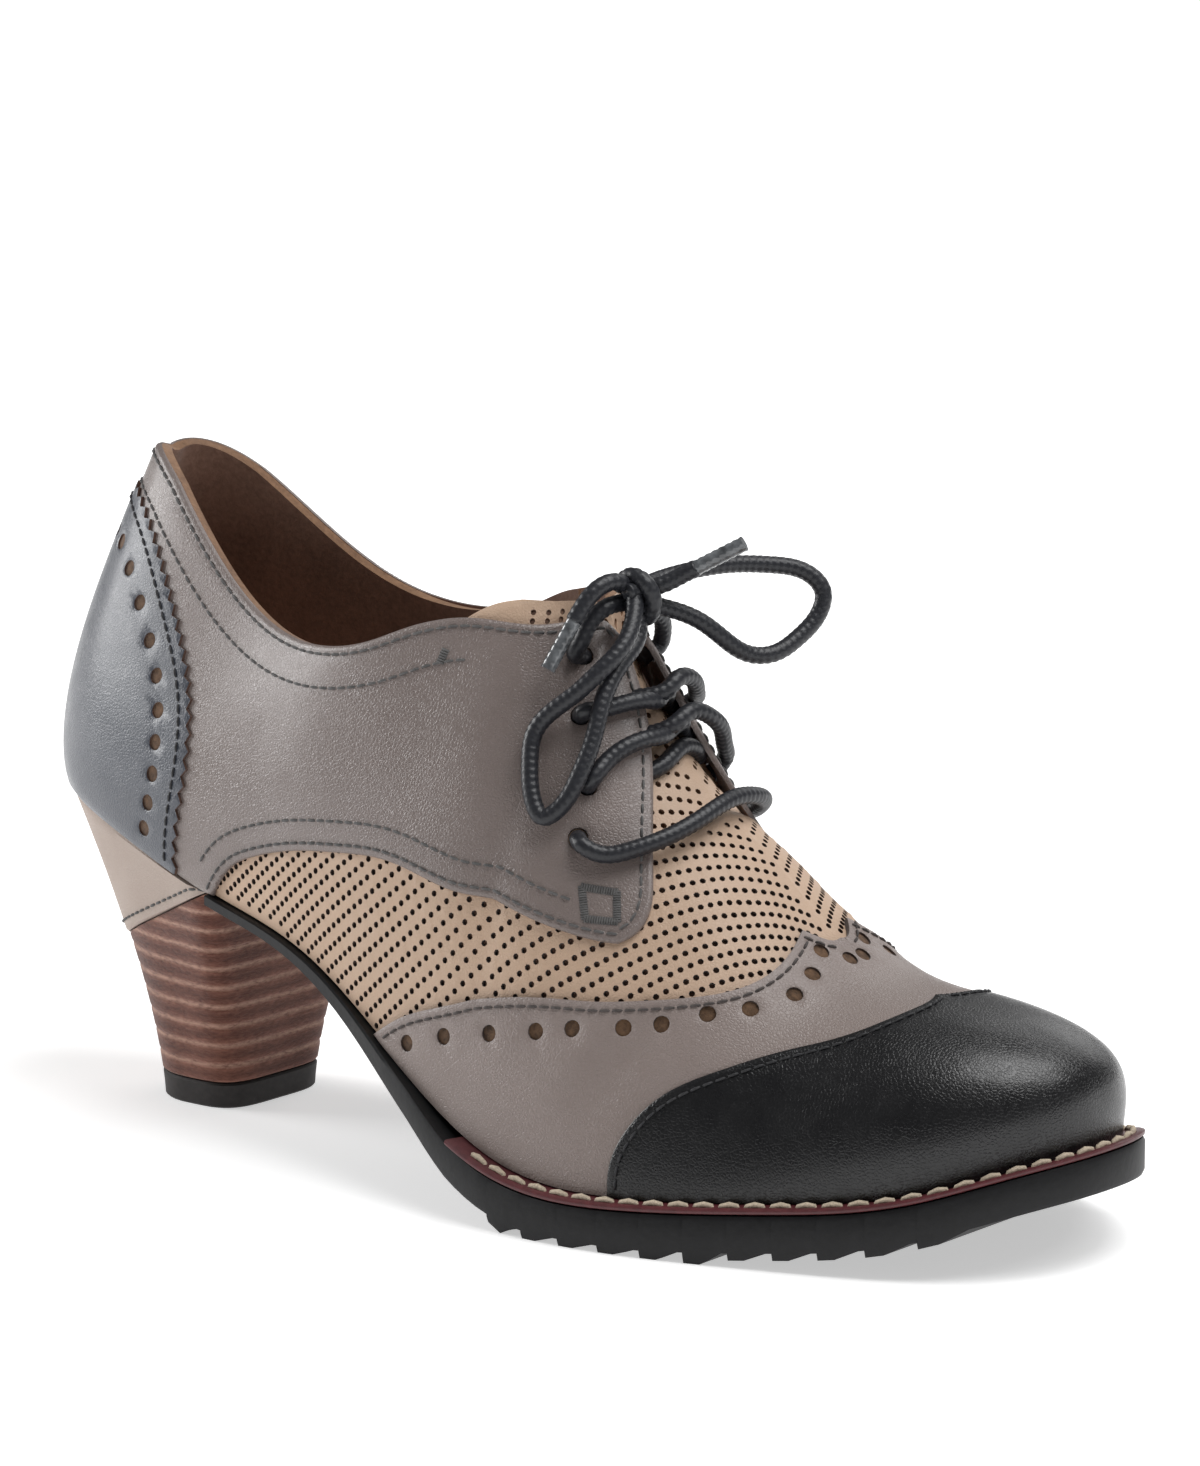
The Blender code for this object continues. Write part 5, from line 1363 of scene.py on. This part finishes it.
def add_wing():
    front = [(u + 0.012, w) for u, w in CAP_EDGE]
    outline = outline_of(
        ("edge", through(WING_EDGE, EDGE_STEP)),
        ("edge", through(WING_DIP, EDGE_STEP)),
        ("border", border(WING_DIP[-1], (front[-1][0], 1.0), JOIN_DEPTHS)),
        ("border", through(front[::-1], HIDDEN_STEP)),
        ("border", border((front[0][0], 0.0), WING_EDGE[0])),
    )
    holes = [(side, u, w, BROGUE_RADIUS, BROGUE_SIDES) for side in (OUTER, INNER) for u, w in WING_HOLES]
    panel("wing_leather", both(outline), OVERLAY_LOW, 0.0,
          [FINISH["wing"], FINISH["dark_edge"], FINISH["dark_edge"]], ["wing"], CUT,
          (EDGE_ROW,), holes)


def add_toe_cap():
    outline = outline_of(
        ("edge", through(CAP_EDGE, EDGE_STEP)),
        ("border", border(CAP_EDGE[-1], (1.0, 1.0), JOIN_DEPTHS)),
        ("border", evenly(OUTER, [(1.0, 1.0), (1.0, 0.0)], 0.002)),
        ("border", border((1.0, 0.0), CAP_EDGE[0])),
    )
    panel("toe_cap_leather", both(outline), OVERLAY_LOW, CAP_PROUD,
          [FINISH["black"], FINISH["dark_edge"], FINISH["black"]], ["toe_cap"], CUT,
          (EDGE_ROW,))


def add_counter():
    pinked = zigzag(OUTER, through(COUNTER_EDGE, EDGE_STEP))
    outline = outline_of(
        ("border", evenly(OUTER, [(0.0, 0.0), COUNTER_EDGE[0]], 0.002)),
        ("edge", pinked),
        ("border", border(COUNTER_EDGE[-1], (0.0, 0.0))),
    )
    holes = [(side, u, w, BROGUE_RADIUS, BROGUE_SIDES) for side in (OUTER, INNER) for u, w in COUNTER_HOLES]
    panel("counter_leather", both(outline), OVERLAY_LOW, COUNTER_PROUD,
          [FINISH["navy"], FINISH["brown_edge"], FINISH["navy"]], ["counter"], PINKED,
          (), holes)


def add_backings():
    """Brown suede behind the brogue holes."""
    n = BACKING_SIDES
    backings = (("wing", WING_HOLES, WING_BACKING), ("counter", COUNTER_HOLES, COUNTER_BACKING))
    for name, centres, depths in backings:
        points, faces = [], []
        for side in (OUTER, INNER):
            for u, w in centres:
                ring = circle(side, u, w, BACKING_RADIUS, n)
                base = len(points)
                for depth in depths:
                    points += list(LAST.at(side, ring[:, 0], ring[:, 1], depth))
                faces += [tuple(base + k for k in range(n))[::-1], tuple(base + n + k for k in range(n))]
                for k in range(n):
                    after = base + (k + 1) % n
                    faces.append((base + k, after, after + n, base + n + k))
        solid(name + "_hole_backing", points, faces, [FINISH["backing"]])


def add_stitching():
    taupe, black, wing, navy = [], [], [], []
    collar = list(border((0.0, 1.0), (COLLAR[0][0], 1.0))) + through(COLLAR, EDGE_STEP)[1:]
    arch = through(FLAP_BOTTOM, EDGE_STEP)
    for side in (OUTER, INNER):
        taupe += stitches(side, collar, EDGE_ROW)
        taupe += stitches(side, collar, COLLAR_ROW, 0.0, *COLLAR_ROW_SPAN)
        taupe += stitches(side, through(FLAP_FRONT, EDGE_STEP), FLAP_ROW, 0.0, *FLAP_ROW_SPAN)
        taupe += stitches(side, arch, ARCH_EDGE_ROW)
        taupe += stitches(side, arch, ARCH_ROW, 0.0, *ARCH_ROW_SPAN)
        for k, corner in enumerate(CORNER_BOX):
            taupe += bar_tack(side, corner, CORNER_BOX[(k + 1) % 4], BOX_TACK_LENGTH)
        taupe += bar_tack(side, *COLLAR_TACK, COLLAR_TACK_LENGTH)
        wing += stitches(side, through(WING_EDGE, EDGE_STEP), EDGE_ROW)
        wing += stitches(side, through(WING_DIP, EDGE_STEP), EDGE_ROW)
        black += stitches(side, through(CAP_EDGE, EDGE_STEP), EDGE_ROW, CAP_PROUD)
        navy += stitches(side, through(COUNTER_EDGE, EDGE_STEP), COUNTER_ROW, COUNTER_PROUD)
    capsules("quarter_stitching", taupe, FINISH["taupe_thread"])
    capsules("wing_stitching", wing, FINISH["dark_thread"])
    capsules("toe_cap_stitching", black, FINISH["black_thread"])
    capsules("counter_stitching", navy, FINISH["black_thread"])


def strip_body(name, us, margin, top, bottom, finish, replaced, wall=SOLE_WALL):
    """A body across the shoe from a feather-edge station to the toe, with walls of this form."""
    shares = (1 - np.cos(np.pi * np.linspace(0, 1, STRIPS_ACROSS + 1))) / 2
    loops = []
    for u in us:
        spots = {side: feather_plan(side, u) for side in (OUTER, INNER)}
        ways = {side: outward(side, np.array([u]))[0] for side in (OUTER, INNER)}
        row_x = float(spots[OUTER][0])
        far = float(np.ravel(margin(np.array([u])) if callable(margin) else margin)[0])
        edges = {side: spots[side] + ways[side] * (far + wall[0][1]) for side in spots}
        upper, lower = [], []
        for share in shares:
            x, y = edges[OUTER] * (1 - share) + edges[INNER] * share
            upper.append((x, y, top(x)))
            lower.append((x, y, bottom(x, row_x, share)))
        loop = list(upper)
        for side, share, run in ((INNER, 1.0, wall[1:-1]), (OUTER, 0.0, wall[1:-1][::-1])):
            for level, more in run:
                x, y = spots[side] + ways[side] * (far + more)
                high, low = top(x), bottom(x, row_x, share)
                loop.append((x, y, high + (low - high) * level))
            if side == INNER:
                loop += lower[::-1]
        loops.append(loop)
    count = len(loops[0])
    points = np.concatenate(loops)
    faces = []
    for i in range(len(loops) - 1):
        for j in range(count):
            a, b = i * count + j, i * count + (j + 1) % count
            faces.append((a, b, b + count, a + count))
    faces.append(tuple(range(count))[::-1])
    return solid(name, points, faces, [finish], replaced, sharp_degrees=40)


def station_at(x):
    return float(np.arccos(1 - 2 * share_at(x)) / np.pi)


def add_outsole():
    lugs = lug_stations()
    depth_x, depth = [x for x, _ in lugs], [share for _, share in lugs]
    xs = set(np.linspace(BREAST + GAP, lugs[0][0] - LUG_LAND, 30))
    xs |= {x for x, _ in lugs if x < x_at(0.995)}
    xs |= {x + LUG_LAND * share for x, _ in lugs[1::4] for share in (1.4, 1.9) if x < x_at(0.98)}
    us = [station_at(x) for x in sorted(xs)]
    us += list(np.linspace(max(us), 1.0, 26)[1:])

    def bottom(x, row_x, share):
        floor = sole_floor(x)
        spring = max(floor - LUG_DEPTH, 0.0)
        drop = floor - (0.0 if spring < LEAST_SPRING else spring)
        return floor - float(np.interp(row_x, depth_x, depth, 0, 0)) * drop

    strip_body("outsole_rubber", us, sole_margin, sole_top, bottom, FINISH["rubber"],
               ["outsole"])


def add_insole():
    us = np.linspace(0.035, 0.965, 120)
    strip_body("insole_board", us, -INSOLE_INSET, lambda x: under_upper(x) + INSOLE_THICKNESS,
               lambda x, row_x, share: under_upper(x), FINISH["insole"], ["insole"],
               ((0.0, 0.0), (0.5, 0.0), (1.0, 0.0)))


def add_welt():
    us = np.linspace(WELT_START, 1, 150)
    path = [(OUTER, u) for u in us] + [(INNER, u) for u in us[::-1][1:]]
    profile = ((-WELT_INSET, 0.0), (WELT_EDGE - 0.0005, 0.0), (WELT_EDGE - 0.0001, 0.2), (WELT_EDGE, 0.5),
               (WELT_EDGE - 0.0001, 0.8), (WELT_EDGE - 0.0005, 1.0), (-WELT_INSET, 1.0))
    points, faces, rows = [], [], []
    for side, u in path:
        spot, out = feather_plan(side, u), outward(side, np.array([u]))[0]
        for far, level in profile:
            x, y = spot + out * far
            points.append((x, y, under_upper(x) - GAP - WELT_THICKNESS * level))
    n = len(profile)
    for i in range(len(path) - 1):
        for j in range(n):
            a, b = i * n + j, i * n + (j + 1) % n
            faces.append((a, b, b + n, a + n))
    faces += [tuple(range(n)), tuple(len(points) - n + k for k in range(n))[::-1]]
    solid("welt_strip", points, faces, [FINISH["welt"]], ["welt"], sharp_degrees=40)
    line = []
    for side, u in path[2:-2]:
        spot, out = feather_plan(side, u), outward(side, np.array([u]))[0]
        x, y = spot + out * (WELT_EDGE * 0.52)
        line.append((x, y, under_upper(x) - GAP))
    line = np.array(line)
    length, pitch, radius = WELT_THREAD
    run = run_along(line)
    for middle in np.arange(pitch, run[-1] - pitch, pitch):
        spot, way = stitch_at(line, run, middle, length)
        rows.append((spot, way, np.array((0.0, 0.0, 1.0)), length, radius))
    capsules("welt_stitching", rows, FINISH["cream_thread"])


def heel_surface(margin, turns):
    """Each turn's line up the heel, from the tip to the outline's seat, as fine (x, y, z) points."""
    seat, tip = heel_outline(turns, margin)
    h = np.linspace(0, 1, HEEL_LINE_PLACES)
    spread = (h ** HEEL_SPREAD)[:, None, None]
    flat = tip[None] * (1 - spread) + seat[None] * spread
    top = np.array([[under_upper(x) - GAP for x in row] for row in flat[:, :, 0]])
    return np.dstack([flat, top * h[:, None]])


def heel_piece(name, low, high, margin, finish, replaced, levels, ridge, edge):
    """A part of the heel between two heights, each a function of x."""
    turns = np.linspace(0, 2 * math.pi, HEEL_TURNS, endpoint=False)
    lines = heel_surface(margin, turns)
    rings = []
    for level in levels:
        ring = []
        for k in range(len(turns)):
            line = lines[:, k]
            order = np.arange(len(line))
            bottom_at = np.interp(0, line[:, 2] - np.array([low(x) for x in line[:, 0]]), order)
            top_at = np.interp(0, line[:, 2] - np.array([high(x) for x in line[:, 0]]), order)
            at = bottom_at + (top_at - bottom_at) * level
            spot = np.array([np.interp(at, order, line[:, i]) for i in range(3)])
            way = np.array([math.cos(turns[k]), math.sin(turns[k])])
            near = min(level, 1 - level)
            groove = abs((spot[2] - HEEL_TIP_HEIGHT) / LIFT_PITCH % 1 - 0.5) * 2
            cut = ridge * max(groove - LIFT_FLAT, 0) / (1 - LIFT_FLAT)
            spot[:2] -= way * (cut + (edge if near < NEARLY_ZERO else 0.0))
            ring.append(spot)
        rings.append(np.array(ring))
    n = len(turns)
    caps = []
    for ring in (rings[0], rings[-1]):
        for shrink in (0.66, 0.33):
            centre = ring.mean(0)
            caps.append(centre + (ring - centre) * shrink)
    everything = [caps[1], caps[0], *rings, caps[2], caps[3]]
    points = np.concatenate(everything + [[everything[0].mean(0), everything[-1].mean(0)]])
    faces = []
    for i in range(len(everything) - 1):
        for j in range(n):
            k = (j + 1) % n
            faces.append((i * n + j, i * n + k, (i + 1) * n + k, (i + 1) * n + j))
    last, under, over = (len(everything) - 1) * n, len(points) - 2, len(points) - 1
    for j in range(n):
        k = (j + 1) % n
        faces += [(last + j, last + k, over), (k, j, under)]
    return solid(name, points, faces, [finish], replaced, sharp_degrees=40), rings


def cover_edge(x):
    return COVER_EDGE_SHARE * SEAT_HEIGHT + COVER_EDGE_SLOPE * x


def add_heel():
    heel_piece("tip_block", lambda x: 0.0, lambda x: HEEL_TIP_HEIGHT, 0.0, FINISH["tip"],
               ["heel_tip"], TIP_LEVELS, 0.0, HEEL_BEVEL)
    levels = np.linspace(0, 1, 100)
    heel_piece("stacked_block", lambda x: HEEL_TIP_HEIGHT + GAP, cover_edge, 0.0, FINISH["stack"],
               ["heel_stack"], levels, LIFT_GROOVE, STACK_BEVEL)
    _, rings = heel_piece("cover_leather", lambda x: cover_edge(x) + GAP,
                          lambda x: under_upper(x) - GAP * 1.5, COVER_PROUD, FINISH["cover"],
                          ["heel_cover"], COVER_LEVELS, 0.0, HEEL_BEVEL)
    rise = rings[-1][:, 2] - rings[0][:, 2]
    share = np.clip(COVER_ROW / rise, 0.02, 0.9)[:, None]
    order = np.arange(len(rings))
    nearest = np.array([np.interp(part, COVER_LEVELS, order) for part in share[:, 0]])
    whole = np.array(rings)
    low = nearest.astype(int)
    part = (nearest - low)[:, None]
    columns = np.arange(len(rise))
    row = whole[low, columns] * (1 - part) + whole[np.minimum(low + 1, len(rings) - 1), columns] * part
    line = np.concatenate([row, row[:1]])
    run = run_along(line)
    length, pitch, radius = FINE_THREAD
    rows = []
    for middle in np.arange(pitch, run[-1], pitch):
        spot, way = stitch_at(line, run, middle, length)
        out = np.array([spot[0] - HEEL_MIDDLE, spot[1] - SEAT_SIDE, 0.0])
        rows.append((spot, way, out / np.linalg.norm(out), length, radius))
    capsules("cover_stitching", rows, FINISH["taupe_thread"])


def through_eyelet(side, number):
    """Points that bring a lace out of an eyelet, from inside the shoe to just over the leather."""
    u, w = EYELETS[number]
    return [LAST.at(side, u, w, depth) for depth in EYELET_DEPTHS]


def add_cords():
    """The lace: bar, crossings, knot, bow and ends, with the lengths they have in the photograph."""
    bar = [*through_eyelet(OUTER, 0), *over_flaps(LACE_BAR), *through_eyelet(INNER, 0)[::-1]]
    braided("lace_bar_braid", bar, ["lace_bar"])
    for name, strands, number in (("lower", LOWER_CROSSING, 1), ("upper", UPPER_CROSSING, 2)):
        for rows in strands:
            side = rows[0][0]
            route = [*through_eyelet(side, number), *over_flaps(rows)]
            label = "outer" if side == OUTER else "inner"
            braided("lace_" + name + "_" + label, route, ["lace_crossing_" + name])
    braided("lace_under_flaps", over_flaps(HIDDEN_STRAND))
    centre = np.array(KNOT_CENTRE)
    body = [centre + np.array(place) for place in KNOT_BODY[0]]
    knot, _ = braided("lace_knot_body", body, ["lace_knot"])
    second, _ = braided("lace_knot_body_upper", [centre + np.array(place) for place in KNOT_BODY[1]])
    wrap, _ = braided("lace_knot_wrap", [centre + np.array(place) for place in KNOT_WRAP])
    for side, name, route in ((OUTER, "outer", LOOP_OUTER), (INNER, "inner", LOOP_INNER)):
        first, last = (centre + place for place in LOOP_ENDS[side])
        piece, line = braided("lace_loop_" + name + "_braid", [first, *route, last], ["lace_loop_" + name])
        length = float(run_along(line)[-1])
    tails = (("outer", OUTER, RISE_OUTER, END_INNER, "inner"),
             ("inner", INNER, RISE_INNER, END_OUTER, "outer"))
    for name, side, rise, end, far in tails:
        first, second = (centre + place for place in TAIL_PLACES[side])
        route = [*through_eyelet(side, 3), *rise, first, second, *end]
        piece, line = braided("lace_tail_" + name, route, ["lace_rise_" + name, "lace_end_" + far])
        way = line[-1] - line[-2]
        way /= np.linalg.norm(way)
        aglet = [line[-1] + way * AGLET_LENGTH * share for share in (-0.02, 0.3, 0.6, 1)]
        film, _ = braided("aglet_film_" + far, aglet, ["aglet_" + far], AGLET_RADIUS)
        film.data.materials[0] = FINISH["aglet"]
        length = float(run_along(line)[-1])


def add_camera():
    azimuth, elevation = math.radians(CAMERA_AZIMUTH), math.radians(CAMERA_ELEVATION)
    flat = math.cos(elevation)
    back = Vector((math.sin(azimuth) * flat, -math.cos(azimuth) * flat, math.sin(elevation)))
    data = bpy.data.cameras.new("camera")
    data.lens, data.sensor_width, data.sensor_fit = CAMERA_LENS, 36, "AUTO"
    camera = bpy.data.objects.new("camera", data)
    bpy.context.scene.collection.objects.link(camera)
    camera.location = Vector(CAMERA_AIM) + back * CAMERA_DISTANCE
    camera.rotation_euler = back.to_track_quat("Z", "Y").to_euler()
    bpy.context.scene.camera = camera


def add_light(name, place, size, power):
    data = bpy.data.lights.new(name, "AREA")
    data.shape, data.size, data.energy = "SQUARE", size, power
    light = bpy.data.objects.new(name, data)
    bpy.context.scene.collection.objects.link(light)
    light.location = place
    light.rotation_euler = (Vector(place) - Vector(LIGHT_AIM)).to_track_quat("Z", "Y").to_euler()


def add_studio():
    world = bpy.data.worlds.new("studio")
    world.use_nodes = True
    nodes, links = world.node_tree.nodes, world.node_tree.links
    dim, shown = nodes["Background"], nodes.new("ShaderNodeBackground")
    dim.inputs["Color"].default_value = (1, 1, 1, 1)
    dim.inputs["Strength"].default_value = ROOM_LIGHT
    shown.inputs["Color"].default_value = (1, 1, 1, 1)
    shown.inputs["Strength"].default_value = 1.0
    path, either = nodes.new("ShaderNodeLightPath"), nodes.new("ShaderNodeMixShader")
    links.new(path.outputs["Is Camera Ray"], either.inputs[0])
    links.new(dim.outputs[0], either.inputs[1])
    links.new(shown.outputs[0], either.inputs[2])
    links.new(either.outputs[0], nodes["World Output"].inputs["Surface"])
    bpy.context.scene.world = world
    bpy.context.scene.view_settings.view_transform = "Standard"
    for light in LIGHTS:
        add_light(*light)
    mesh = bpy.data.meshes.new("floor")
    wide = FLOOR_HALF
    corners = [(-wide, -wide, 0), (wide, -wide, 0), (wide, wide, 0), (-wide, wide, 0)]
    mesh.from_pydata(corners, [], [(0, 1, 2, 3)])
    floor = bpy.data.objects.new("floor", mesh)
    bpy.context.scene.collection.objects.link(floor)
    paint = Finish("floor_paint", 0.9, 0.0, 0.0, 0.1).join("Base Color", (0.85, 0.85, 0.85))
    far = paint.node("ShaderNodeVectorMath", {"operation": "LENGTH"}, {0: paint.place}, 1)
    glow = paint.between(far, GLOW_NEAR, GLOW_FAR, FLOOR_GLOW, GLOW_FULL)
    paint.join("Emission Color", paint.mix(glow, (0.0, 0.0, 0.0), (1.0, 1.0, 1.0)))
    paint.join("Emission Strength", 1.0)
    mesh.materials.append(paint.material)


def main():
    add_camera()
    add_cords()
    add_studio()
    add_vamp()
    add_lining()
    add_tongue()
    add_quarters()
    add_wing()
    add_toe_cap()
    add_counter()
    add_backings()
    add_stitching()
    add_outsole()
    add_insole()
    add_welt()
    add_heel()


FINISH = make_finishes()
main()
